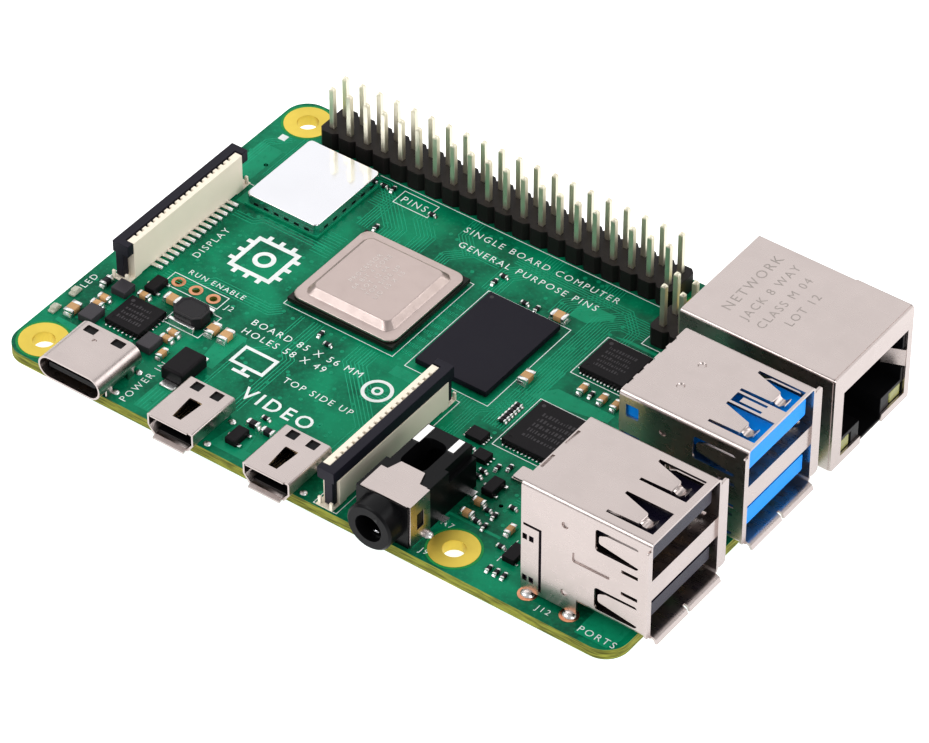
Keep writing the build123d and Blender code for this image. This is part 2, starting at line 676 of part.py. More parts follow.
def ribbon_housing(connector):
    """Cream housing: a tall comb wall on the lead side, a low wall, and a slot between them."""
    half = RIBBON_DEPTH / 2
    with BuildPart() as housing:
        with BuildSketch(ribbon_plane(connector, 0.15)):
            Rectangle(RIBBON_DEPTH, RIBBON_LENGTH)
        extrude(amount=RIBBON_LOW_WALL - 0.15)
        with BuildSketch(ribbon_plane(connector, RIBBON_LOW_WALL)):
            with Locations(((RIBBON_SLOT[1] + half) / 2, 0)):
                Rectangle(half - RIBBON_SLOT[1], RIBBON_LENGTH)
            with Locations((RIBBON_SLOT[1], 0)):
                with GridLocations(0, RIBBON_PITCH, 1, RIBBON_CONTACTS + 3):
                    Rectangle(0.8, 0.36, mode=Mode.SUBTRACT)
        extrude(amount=RIBBON_WALL_HEIGHT - RIBBON_LOW_WALL)
        with BuildSketch(ribbon_plane(connector, 0.9)):
            with Locations(((RIBBON_SLOT[0] + RIBBON_SLOT[1]) / 2, 0)):
                Rectangle(RIBBON_SLOT[1] - RIBBON_SLOT[0], RIBBON_LENGTH - 2.4)
        extrude(amount=RIBBON_WALL_HEIGHT, mode=Mode.SUBTRACT)
        for end in (-1, 1):
            with BuildSketch(ribbon_plane(connector, 0.15)):
                tip = LATCH_LENGTH / 2
                with Locations((-half + 0.2, end * (tip + 0.25)), (half - 0.35, end * (tip + 0.05))):
                    Rectangle(0.4, 0.3)
            extrude(amount=1.0)
            with BuildSketch(ribbon_plane(connector)):
                with Locations((0, end * (LATCH_LENGTH / 2 - 0.35))):
                    Rectangle(RIBBON_DEPTH, 1.5)
            extrude(amount=0.15)
            with BuildSketch(ribbon_plane(connector)):
                with Locations((0, end * (RIBBON_LENGTH / 2 - 0.6))):
                    Rectangle(RIBBON_DEPTH, 1.2)
            extrude(amount=0.2)
    return housing


def ribbon_latch(connector):
    """Dark sliding latch: a bar over the slot, a wedge down into it and an arm at each end."""
    half = RIBBON_DEPTH / 2
    bar_low = RIBBON_LOW_WALL + LATCH_GAP
    arm_y = RIBBON_LENGTH / 2 + LATCH_GAP + LATCH_ARM / 2
    with BuildPart() as latch:
        with BuildSketch(ribbon_plane(connector, bar_low)):
            with Locations(((-half + RIBBON_SLOT[1] - LATCH_GAP) / 2, 0)):
                Rectangle(RIBBON_SLOT[1] - LATCH_GAP + half, LATCH_LENGTH)
        extrude(amount=LATCH_TOP - bar_low)
        with BuildSketch(ribbon_plane(connector, RIBBON_WALL_HEIGHT - 1.4)):
            for end in (-1, 1):
                overhang = (LATCH_LENGTH - RIBBON_LENGTH - 2 * LATCH_GAP) / 2
                with Locations((0, end * (LATCH_LENGTH - overhang) / 2)):
                    Rectangle(RIBBON_DEPTH, (LATCH_LENGTH - RIBBON_LENGTH - 2 * LATCH_GAP) / 2)
        extrude(amount=LATCH_TOP - RIBBON_WALL_HEIGHT + 1.4)
        with BuildSketch(ribbon_plane(connector, 1.4)):
            with Locations(((RIBBON_SLOT[0] + RIBBON_SLOT[1]) / 2 - 0.05, 0)):
                Rectangle(0.35, RIBBON_LENGTH - 3.0)
        extrude(amount=bar_low - 1.4)
        with BuildSketch(ribbon_plane(connector, 0.35)):
            with GridLocations(0, 2 * arm_y, 1, 2):
                with Locations((-0.3, 0)):
                    Rectangle(1.1, LATCH_ARM)
        extrude(amount=bar_low - 0.35)
    return latch


def ribbon_contacts(connector):
    """Contact strips that stand in the slot, and the leads soldered to the board."""
    half = RIBBON_DEPTH / 2
    with BuildPart() as contacts:
        with BuildSketch(ribbon_plane(connector)):
            with Locations((half + 0.8, 0)):
                with GridLocations(0, RIBBON_PITCH, 1, RIBBON_CONTACTS):
                    Rectangle(1.6, 0.3)
        extrude(amount=0.15)
        with BuildSketch(ribbon_plane(connector, 0.9)):
            with Locations((RIBBON_SLOT[1] - 0.06, 0)):
                with GridLocations(0, RIBBON_PITCH, 1, RIBBON_CONTACTS):
                    Rectangle(0.12, 0.3)
        extrude(amount=2.4)
    return contacts


display_connector_housing = ribbon_housing(DISPLAY_CONNECTOR)
display_connector_latch = ribbon_latch(DISPLAY_CONNECTOR)
display_connector_contacts = ribbon_contacts(DISPLAY_CONNECTOR)
camera_connector_housing = ribbon_housing(CAMERA_CONNECTOR)
camera_connector_latch = ribbon_latch(CAMERA_CONNECTOR)
camera_connector_contacts = ribbon_contacts(CAMERA_CONNECTOR)


# ---------------------------------------------------------------- stacked double ports
def stack_finger(half_root, half_neck, half_tip):
    """Contact spring in a port's top: it dips into the port and lifts again at its tip."""
    with BuildPart() as finger:
        with BuildSketch(Plane.XY):
            with BuildLine():
                Polyline(
                    (0, half_root), (3.4, half_neck), (3.6, half_tip), (5.0, half_tip),
                    (5.0, -half_tip), (3.6, -half_tip), (3.4, -half_neck), (0, -half_root), close=True,
                )
            make_face()
        extrude(amount=-2.0)
        with BuildSketch(Plane.XZ):
            with BuildLine():
                Polyline((0, 0), (3.4, -0.55), (3.9, -1.0), (4.3, -1.05), (5.0, -0.45))
                Polyline((5.0, -0.45), (5.0, -0.75), (4.4, -1.32), (3.8, -1.28))
                Polyline((3.8, -1.28), (3.3, -0.84), (0, -STACK_SHEET), (0, 0))
            make_face()
        extrude(amount=3, both=True, mode=Mode.INTERSECT)
    return finger.part


STACK_FINGER = stack_finger(1.55, 0.95, 0.65)
STACK_FRONT = STACK_REAR + STACK_LENGTH
STACK_MIDDLE = (STACK_TOP + STACK_FLOOR) / 2
SIDE_SPRING_LOW = (3.0, 11.45)


with BuildSketch() as side_tongue_outline:
    with BuildLine():
        Polyline((-2.3, -0.35), (-2.3, 0.75), (-1.3, 1.2), (2.8, 1.25), (2.8, -1.2), close=True)
    make_face()
    fillet(side_tongue_outline.vertices().sort_by(Axis.X)[:3], 0.35)
SIDE_TONGUE = side_tongue_outline.sketch
REAR_SLITS = ((2.35, 2.5), (-2.25, 2.3))
REAR_SCALLOPS = (-4.6, -2.6, -0.6, 1.6, 3.6)


def stack_shell(y, finger_start, reverse_slot):
    """Folded steel shell of a double port, with its springs, flanges, divider and board tabs."""
    inner = STACK_WIDTH - 2 * STACK_SHEET
    tall = STACK_TOP - STACK_FLOOR
    with BuildPart() as shell:
        with BuildSketch(looking_right(STACK_REAR, y, STACK_MIDDLE)):
            RectangleRounded(STACK_WIDTH, tall, STACK_BEND)
        extrude(amount=STACK_LENGTH)
        with BuildSketch(looking_right(STACK_REAR, y)):
            with GridLocations(STACK_WIDTH - STACK_SHEET, 0, 2, 1):
                with Locations((0, (STACK_SKIRT + STACK_FLOOR + 1) / 2)):
                    Rectangle(STACK_SHEET, STACK_FLOOR + 1 - STACK_SKIRT)
        extrude(amount=STACK_SKIRT_LENGTH)
        with BuildSketch(looking_right(STACK_REAR, y)):
            with Locations((0, (STACK_SKIRT + STACK_FLOOR + 1) / 2)):
                Rectangle(STACK_WIDTH, STACK_FLOOR + 1 - STACK_SKIRT)
        extrude(amount=STACK_SHEET)
        with BuildSketch(looking_right(STACK_REAR + STACK_SHEET, y, STACK_MIDDLE)):
            RectangleRounded(inner, tall - 2 * STACK_SHEET, STACK_BEND - STACK_SHEET)
        extrude(amount=STACK_LENGTH, mode=Mode.SUBTRACT)
        with BuildSketch(looking_right(STACK_REAR + STACK_SHEET, y, STACK_FLOOR)):
            Rectangle(inner, 4.0)
        extrude(amount=STACK_SKIRT_LENGTH - STACK_SHEET, mode=Mode.SUBTRACT)
        # divider between the two ports, folded from one strip
        band_tall = STACK_BAND[1] - STACK_BAND[0]
        with BuildSketch(looking_out(STACK_FRONT - 0.25, y, sum(STACK_BAND) / 2)):
            with Locations((-4.4, 0)):
                Rectangle(8.8, band_tall)
            with Locations((-4.4 - STACK_SHEET, 0)):
                Rectangle(8.8, band_tall - 2 * STACK_SHEET, mode=Mode.SUBTRACT)
        extrude(amount=inner / 2, both=True)
        # springs and windows in the top
        with BuildSketch(on_board(finger_start + 3.0, y, STACK_TOP)):
            with GridLocations(0, 6.1, 1, 2):
                Rectangle(6.0, 3.9)
        extrude(amount=-STACK_SHEET * 1.2, mode=Mode.SUBTRACT)
        if reverse_slot:
            with BuildSketch(on_board(finger_start + 2.0, y, STACK_TOP)):
                Rectangle(3.9, 1.5)
                with Locations((0.5, 0)):
                    Rectangle(3.0, 0.8, mode=Mode.SUBTRACT)
            extrude(amount=-STACK_SHEET * 1.2, mode=Mode.SUBTRACT)
        finger_roots = [on_board(finger_start, y + side * 3.05, STACK_TOP).location for side in (-1, 1)]
        with Locations(*finger_roots):
            add(STACK_FINGER)
        # springs in both sides, rooted at the mouth
        for low in SIDE_SPRING_LOW:
            with BuildSketch(looking_out(STACK_REAR + 12.35, y, low + 1.5)):
                RectangleRounded(5.5, 3.1, 0.4)
                add(SIDE_TONGUE, mode=Mode.SUBTRACT)
            extrude(amount=STACK_WIDTH, both=True, mode=Mode.SUBTRACT)
        with BuildSketch(looking_out(STACK_REAR + 14.05, y)):
            with Locations((0, 7.1), (0, 10.25)):
                Rectangle(2.1, 0.45)
        extrude(amount=STACK_WIDTH, both=True, mode=Mode.SUBTRACT)
        # tab strip at the rear of both sides
        with BuildSketch(looking_out(STACK_REAR, y)):
            with Locations((1.45, 10.15)):
                Rectangle(2.3, 0.35)
            with Locations((2.5, 5.75)):
                Rectangle(0.35, 9.15)
            with Locations((0.5, 8.35), (1.35, 8.35), (0.5, 2.3), (1.35, 2.3)):
                Rectangle(0.6, 0.8)
        extrude(amount=STACK_WIDTH, both=True, mode=Mode.SUBTRACT)
        # rear edge of the top, the window beside it and the dimples in the top
        if reverse_slot:
            with BuildSketch(on_board(STACK_REAR, y, STACK_TOP)):
                with Locations(*[(0, across) for across in REAR_SCALLOPS]):
                    Ellipse(0.28, 0.6)
            extrude(amount=-STACK_SHEET * 0.7, mode=Mode.SUBTRACT)
            with BuildSketch(looking_out(STACK_REAR, y - STACK_WIDTH / 2 + 0.5)):
                with Locations((1.7, 13.6)):
                    RectangleRounded(1.65, 1.75, 0.15)
            extrude(amount=1.0, mode=Mode.SUBTRACT)
            with BuildSketch(on_board(STACK_REAR + 4.9, y, STACK_TOP)):
                with GridLocations(0, 4.1, 1, 2):
                    Circle(0.5)
            extrude(amount=-0.16, taper=35, mode=Mode.SUBTRACT)
        else:
            with BuildSketch(on_board(STACK_REAR + 0.35, y, STACK_TOP)):
                for across, wide in REAR_SLITS:
                    with Locations((0, across)):
                        Rectangle(0.35, wide)
            extrude(amount=-STACK_SHEET * 0.7, mode=Mode.SUBTRACT)
        # pressed panel and dimples
        for side in (-1, 1):
            with BuildSketch(looking_out(STACK_REAR, y + side * STACK_WIDTH / 2)):
                with Locations((9.1, 8.8)):
                    RectangleRounded(4.8, 1.4, 0.2)
                with Locations((5.7, 12.8), (5.7, 3.0)):
                    Circle(0.45)
            extrude(amount=0.18, both=True, mode=Mode.SUBTRACT)
        # openings in the floor under the lower port
        with BuildSketch(on_board(STACK_REAR + 12.0, y, STACK_FLOOR - 0.1)):
            with GridLocations(0, 6.1, 1, 2):
                Rectangle(4.5, 3.2)
        extrude(amount=STACK_SHEET + 0.2, mode=Mode.SUBTRACT)
        # flanges at the mouth
        with BuildSketch(looking_right(STACK_FRONT - STACK_SHEET, y)):
            with Locations((STACK_WIDTH / 2 + 0.65, 8.9)):
                RectangleRounded(1.5, 12.4, 0.5)
            with Locations((-STACK_WIDTH / 2 - 0.2, 8.9)):
                RectangleRounded(0.6, 12.4, 0.25)
        extrude(amount=STACK_SHEET)
        for side in (-1, 1):
            with BuildSketch(looking_out(STACK_FRONT, y + side * 3.1, STACK_FLOOR)):
                with BuildLine():
                    Polyline((-0.05, 0), (0.35, -0.2), (0.5, -0.6), (0.8, -0.5), (0.6, 0.05))
                    Polyline((0.6, 0.05), (0.05, STACK_SHEET), (-0.05, STACK_SHEET), (-0.05, 0))
                make_face()
            extrude(amount=2.9, both=True)
        # tabs through the board
        for tab_x in (0.9, 6.4):
            with BuildSketch(on_board(STACK_REAR + tab_x, y, -BOARD_THICK - TAIL)):
                with GridLocations(0, STACK_WIDTH - STACK_SHEET, 1, 2):
                    Rectangle(1.0, STACK_SHEET)
            extrude(amount=BOARD_THICK + TAIL + STACK_SKIRT + 0.1)
    return shell


def stack_insert(y, thick, bottoms):
    """Moulded insulator: one block at the back that carries the tongues of both ports."""
    inner = STACK_WIDTH - 2 * STACK_SHEET - 0.1
    with BuildPart() as insert:
        with BuildSketch(looking_right(STACK_REAR + STACK_SHEET + 0.05, y)):
            with Locations((0, 8.2)):
                Rectangle(inner, 14.8)
        extrude(amount=5.9)
        for bottom in bottoms:
            with BuildSketch(looking_right(STACK_REAR + 6.0, y, bottom + thick / 2)):
                RectangleRounded(TONGUE_WIDTH, thick, 0.2)
            extrude(amount=TONGUE_FRONT - 6.0)
    return insert


def stack_contacts(y, bottoms, count, pitch):
    """Contact strips under each tongue, and the tails that pass through the board."""
    with BuildPart() as contacts:
        for bottom in bottoms:
            with BuildSketch(on_board(STACK_REAR + 10.8, y, bottom - 0.12)):
                with GridLocations(0, pitch, 1, count):
                    Rectangle(8.6, 0.9)
            extrude(amount=0.12)
        with BuildSketch(on_board(STACK_REAR + 3.2, y, -BOARD_THICK - TAIL)):
            with GridLocations(2.6, 2.5, 2, 4):
                Rectangle(0.5, 0.3)
        extrude(amount=BOARD_THICK + TAIL + 0.8)
    return contacts


SLOW_TONGUES = (4.6, 12.8)
FAST_TONGUES = (4.2, 12.3)
dual_port_a_shell = stack_shell(SLOW_STACK_Y, 80.9, False)
dual_port_a_insert = stack_insert(SLOW_STACK_Y, 1.84, SLOW_TONGUES)
dual_port_a_contacts = stack_contacts(SLOW_STACK_Y, SLOW_TONGUES, 4, 2.3)
dual_port_b_shell = stack_shell(FAST_STACK_Y, 81.5, True)
dual_port_b_insert = stack_insert(FAST_STACK_Y, 2.3, FAST_TONGUES)
dual_port_b_contacts = stack_contacts(FAST_STACK_Y, FAST_TONGUES, 5, 2.0)

# ---------------------------------------------------------------- network jack
NETWORK_LENGTH = NETWORK_FRONT - NETWORK_REAR
MOUTH_WIDTH, MOUTH_LOW, MOUTH_HIGH = NETWORK_MOUTH
MOUTH_SHIFT = 0.5
LIGHT_PLACES = ((-5.25, 2.4), (5.1, 2.6))
LIGHT_TOP = 2.8
LEDGE_TOP = 3.3
with BuildPart() as network_jack_shell:
    with BuildSketch(looking_right(NETWORK_REAR, NETWORK_Y, 0.1 + (NETWORK_TOP - 0.1) / 2)):
        RectangleRounded(NETWORK_WIDTH, NETWORK_TOP - 0.1, 0.4)
    extrude(amount=NETWORK_LENGTH)
    with BuildSketch(looking_right(NETWORK_REAR + SHEET, NETWORK_Y)):
        with Locations((0, (NETWORK_TOP - SHEET - 1) / 2)):
            Rectangle(NETWORK_WIDTH - 2 * SHEET, NETWORK_TOP - SHEET + 1)
    extrude(amount=NETWORK_LENGTH - 2 * SHEET, mode=Mode.SUBTRACT)
    with BuildSketch(looking_right(NETWORK_FRONT - 2 * SHEET, NETWORK_Y + MOUTH_SHIFT)):
        with Locations((0, (MOUTH_LOW + MOUTH_HIGH) / 2)):
            Rectangle(MOUTH_WIDTH, MOUTH_HIGH - MOUTH_LOW)
        with Locations((-0.2, MOUTH_LOW / 2)):
            Rectangle(NETWORK_NOTCH, MOUTH_LOW + 0.2)
    extrude(amount=3 * SHEET, mode=Mode.SUBTRACT)
    # raised wrap around the front third, and the earthing spring at the right of the mouth
    with BuildSketch(looking_right(80.2, NETWORK_Y)):
        with Locations((0, NETWORK_TOP / 2 + 0.1)):
            RectangleRounded(NETWORK_WIDTH + 0.16, NETWORK_TOP - 0.04, 0.4)
            Rectangle(NETWORK_WIDTH, NETWORK_TOP - 0.2, mode=Mode.SUBTRACT)
    extrude(amount=NETWORK_FRONT - 80.2 - 0.3)
    with BuildSketch(on_board(NETWORK_FRONT, NETWORK_Y + MOUTH_SHIFT + MOUTH_WIDTH / 2, 5.3)):
        with BuildLine():
            Polyline((-0.25, 0.1), (-0.05, 0.1), (-0.05, -0.15), (-2.6, -1.2), (-3.4, -0.9))
            Polyline((-3.4, -0.9), (-3.4, -0.65), (-2.6, -0.95), (-0.25, 0.1))
        make_face()
    extrude(amount=2.3)
    for tab_x in NETWORK_TAB_X:
        with BuildSketch(on_board(tab_x, NETWORK_Y, -BOARD_THICK - TAIL)):
            with GridLocations(0, NETWORK_WIDTH - SHEET, 1, 2):
                Rectangle(1.0, SHEET)
        extrude(amount=BOARD_THICK + TAIL + 1.5)

with BuildPart() as network_jack_body:
    with BuildSketch(looking_right(NETWORK_REAR + SHEET + 0.05, NETWORK_Y)):
        with Locations((0, 0.3 + (NETWORK_TOP - SHEET - 0.4) / 2)):
            Rectangle(NETWORK_WIDTH - 2 * SHEET - 0.1, NETWORK_TOP - SHEET - 0.4)
    extrude(amount=NETWORK_LENGTH - 2 * SHEET - 0.1)
    with BuildSketch(looking_right(NETWORK_FRONT - SHEET, NETWORK_Y + MOUTH_SHIFT)):
        with Locations((0, (LEDGE_TOP + MOUTH_HIGH) / 2)):
            Rectangle(MOUTH_WIDTH - 1.0, MOUTH_HIGH - LEDGE_TOP - 0.15)
        with Locations((-0.2, (MOUTH_LOW - 0.7 + LEDGE_TOP + 0.2) / 2)):
            Rectangle(NETWORK_NOTCH, LEDGE_TOP + 0.9 - MOUTH_LOW)
    extrude(amount=-11.0, mode=Mode.SUBTRACT)
    with BuildSketch(looking_right(NETWORK_FRONT - SHEET, NETWORK_Y + MOUTH_SHIFT)):
        for light_y, light_width in LIGHT_PLACES:
            with Locations((light_y, (MOUTH_LOW + LIGHT_TOP) / 2)):
                Rectangle(light_width + 0.1, LIGHT_TOP - MOUTH_LOW + 0.1)
        with Locations((MOUTH_WIDTH / 2 - 0.55, 6.45)):
            Rectangle(1.5, 2.7)
    extrude(amount=-6.0, mode=Mode.SUBTRACT)

with BuildPart() as network_light_pipes:
    with BuildSketch(looking_right(NETWORK_FRONT - SHEET - 0.1, NETWORK_Y + MOUTH_SHIFT)):
        for light_y, light_width in LIGHT_PLACES:
            with Locations((light_y, (MOUTH_LOW + LIGHT_TOP) / 2)):
                Rectangle(light_width, LIGHT_TOP - MOUTH_LOW)
    extrude(amount=-5.8)
    chamfer(network_light_pipes.faces().sort_by(Axis.X)[-2:].edges().filter_by(Axis.Z), 0.3)

with BuildPart() as network_jack_contacts:
    for contact in range(8):
        contact_y = NETWORK_Y + MOUTH_SHIFT + (contact - 3.5) * 1.016
        with BuildSketch(looking_out(NETWORK_FRONT, contact_y + 0.17)):
            with BuildLine():
                Polyline((-2.4, 10.3), (-3.0, 10.3), (-10.9, 7.6), (-10.9, 7.25))
                Polyline((-10.9, 7.25), (-2.4, 10.0), (-2.4, 10.3))
            make_face()
        extrude(amount=0.34)
    with BuildSketch(on_board(NETWORK_REAR + 4.8, NETWORK_Y, -BOARD_THICK - TAIL)):
        with GridLocations(2.54, 1.27, 2, 8):
            Rectangle(0.4, 0.4)
    extrude(amount=BOARD_THICK + TAIL + 0.3)

# ---------------------------------------------------------------- card socket
CARD_TOP = -BOARD_THICK - 0.03
with BuildPart() as card_socket_shell:
    with BuildSketch(on_board(1.0 + CARD_SOCKET[0] / 2, CARD_SOCKET_Y, -BOARD_THICK - TAIL)):
        Rectangle(*CARD_SOCKET)
    extrude(amount=TAIL - 0.03)
    with BuildSketch(on_board(1.0 + CARD_SOCKET[0] / 2, CARD_SOCKET_Y, -BOARD_THICK - TAIL + 0.2)):
        Rectangle(CARD_SOCKET[0] + 1, CARD_SOCKET[1] - 0.4)
    extrude(amount=TAIL, mode=Mode.SUBTRACT)
    with BuildSketch(on_board(9.0, CARD_SOCKET_Y, -BOARD_THICK - TAIL)):
        with GridLocations(5.0, 7.0, 2, 2):
            RectangleRounded(2.4, 0.7, 0.2)
    extrude(amount=0.2, mode=Mode.SUBTRACT)

with BuildPart() as card_socket_base:
    with BuildSketch(on_board(12.5, CARD_SOCKET_Y, -BOARD_THICK - 0.5)):
        Rectangle(5.0, CARD_SOCKET[1] - 0.5)
    extrude(amount=0.47)
    with BuildSketch(on_board(14.4, CARD_SOCKET_Y, -BOARD_THICK - TAIL + 0.25)):
        Rectangle(1.0, CARD_SOCKET[1] - 0.5)
    extrude(amount=TAIL - 0.28)

with BuildPart() as card_socket_contacts:
    with BuildSketch(on_board(10.2, CARD_SOCKET_Y, -BOARD_THICK - 0.62)):
        with GridLocations(0, 1.1, 1, 8):
            Rectangle(4.6, 0.6)
    extrude(amount=0.12)

# ---------------------------------------------------------------- labels and files
pieces = {
    "circuit_board": circuit_board,
    "plated_pads": plated_pads,
    "gpio_header_base": gpio_header_base,
    "gpio_header_pins": gpio_header_pins,
    "power_header_base": power_header_base,
    "power_header_pins": power_header_pins,
    "solder_balls": solder_balls,
    "processor_substrate": processor_substrate,
    "processor_lid": processor_lid,
    "processor_die": processor_die,
    "memory_package": memory_package,
    "wireless_base": wireless_base,
    "wireless_shield": wireless_shield,
    "wireless_chip": wireless_chip,
    "power_manager_chip": power_manager_chip,
    "port_controller_chip": port_controller_chip,
    "network_chip": network_chip,
    "logic_chips": logic_chips,
    "chip_leads": chip_leads,
    "transistor_bodies": transistor_bodies,
    "power_inductor": power_inductor,
    "surge_diode": surge_diode,
    "power_terminals": power_terminals,
    "small_inductors": small_inductors,
    "capacitor_bodies": capacitor_bodies,
    "capacitor_terminals": capacitor_terminals,
    "resistor_bodies": resistor_bodies,
    "resistor_terminals": resistor_terminals,
    "indicator_lights": indicator_lights,
    "clock_crystal": clock_crystal,
    "power_socket_shell": power_socket_shell,
    "power_socket_tongue": power_socket_tongue,
    "power_socket_contacts": power_socket_contacts,
    "video_socket_1_shell": video_socket_1_shell,
    "video_socket_1_insert": video_socket_1_insert,
    "video_socket_2_shell": video_socket_2_shell,
    "video_socket_2_insert": video_socket_2_insert,
    "video_socket_contacts": video_socket_contacts,
    "audio_jack_body": audio_jack_body,
    "audio_jack_shield": audio_jack_shield,
    "audio_jack_contacts": audio_jack_contacts,
    "display_connector_housing": display_connector_housing,
    "display_connector_latch": display_connector_latch,
    "display_connector_contacts": display_connector_contacts,
    "camera_connector_housing": camera_connector_housing,
    "camera_connector_latch": camera_connector_latch,
    "camera_connector_contacts": camera_connector_contacts,
    "dual_port_a_shell": dual_port_a_shell,
    "dual_port_a_insert": dual_port_a_insert,
    "dual_port_a_contacts": dual_port_a_contacts,
    "dual_port_b_shell": dual_port_b_shell,
    "dual_port_b_insert": dual_port_b_insert,
    "dual_port_b_contacts": dual_port_b_contacts,
    "network_jack_shell": network_jack_shell,
    "network_jack_body": network_jack_body,
    "network_jack_contacts": network_jack_contacts,
    "network_light_pipes": network_light_pipes,
    "card_socket_shell": card_socket_shell,
    "card_socket_base": card_socket_base,
    "card_socket_contacts": card_socket_contacts,
}
for name, piece in pieces.items():
    piece.part.label = name
    export_step(piece.part, f"parts/{name}.step")
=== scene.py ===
"""Looks of a single board computer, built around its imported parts.

Every length here is in millimetres and is turned into the frame's metres where a piece is made.
Places on the board are measured from its corner beside the power socket.
"""

import logging
import math
import random
from contextlib import contextmanager
from dataclasses import dataclass, field
from enum import Enum
from typing import Callable, Iterator, Sequence

import bmesh
import bpy
from mathutils import Matrix, Vector


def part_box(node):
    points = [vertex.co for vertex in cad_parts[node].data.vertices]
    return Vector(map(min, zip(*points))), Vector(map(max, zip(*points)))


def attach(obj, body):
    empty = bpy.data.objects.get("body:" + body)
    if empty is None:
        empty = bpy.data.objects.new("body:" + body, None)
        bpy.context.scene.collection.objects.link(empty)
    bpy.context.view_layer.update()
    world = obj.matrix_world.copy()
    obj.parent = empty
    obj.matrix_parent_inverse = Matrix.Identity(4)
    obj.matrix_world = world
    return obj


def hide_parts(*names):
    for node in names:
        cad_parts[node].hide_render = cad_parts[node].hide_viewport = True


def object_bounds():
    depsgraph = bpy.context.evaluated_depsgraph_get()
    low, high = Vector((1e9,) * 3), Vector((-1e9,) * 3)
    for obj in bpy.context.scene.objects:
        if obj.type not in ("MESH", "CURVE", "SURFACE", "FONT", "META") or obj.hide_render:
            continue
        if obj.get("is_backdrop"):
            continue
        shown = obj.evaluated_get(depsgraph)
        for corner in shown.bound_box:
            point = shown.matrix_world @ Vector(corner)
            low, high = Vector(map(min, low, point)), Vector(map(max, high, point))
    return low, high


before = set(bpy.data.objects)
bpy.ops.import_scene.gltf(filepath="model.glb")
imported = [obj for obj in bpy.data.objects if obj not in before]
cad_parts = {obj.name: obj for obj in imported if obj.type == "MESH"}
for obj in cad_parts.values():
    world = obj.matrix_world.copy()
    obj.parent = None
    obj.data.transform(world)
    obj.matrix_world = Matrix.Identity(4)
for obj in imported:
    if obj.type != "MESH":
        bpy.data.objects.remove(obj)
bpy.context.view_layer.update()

log = logging.getLogger("single_board_computer")

MM = 0.001
Colour = tuple[float, float, float]
Point = tuple[float, float]
Box = tuple[Vector, Vector]


# ---------------------------------------------------------------- shader building
class Value:
    """A shader socket that can be used in Python arithmetic."""

    def __init__(self, graph: "Graph", socket: bpy.types.NodeSocket) -> None:
        """Wrap one output socket of a graph."""
        self.graph = graph
        self.socket = socket

    def join(self, operation: str, other: "Value | float", flip: bool = False) -> "Value":
        """Add a Math node on this value and another.

        Args:
            operation: the Math node's operation.
            other: the second value or number.
            flip: put the other value first.

        Returns:
            The node's result.
        """
        first, second = (other, self) if flip else (self, other)
        node = self.graph.add("ShaderNodeMath", {"operation": operation}, {0: first, 1: second})
        return Value(self.graph, node.outputs[0])

    def __add__(self, other: "Value | float") -> "Value":
        """Sum."""
        return self.join("ADD", other)

    def __radd__(self, other: float) -> "Value":
        """Sum with a number in front."""
        return self.join("ADD", other, flip=True)

    def __sub__(self, other: "Value | float") -> "Value":
        """Difference."""
        return self.join("SUBTRACT", other)

    def __rsub__(self, other: float) -> "Value":
        """Difference with a number in front."""
        return self.join("SUBTRACT", other, flip=True)

    def __mul__(self, other: "Value | float") -> "Value":
        """Product."""
        return self.join("MULTIPLY", other)

    def __rmul__(self, other: float) -> "Value":
        """Product with a number in front."""
        return self.join("MULTIPLY", other, flip=True)

    def __gt__(self, other: "Value | float") -> "Value":
        """One where this value is larger, else zero."""
        return self.join("GREATER_THAN", other)

    def __lt__(self, other: "Value | float") -> "Value":
        """One where this value is smaller, else zero."""
        return self.join("LESS_THAN", other)


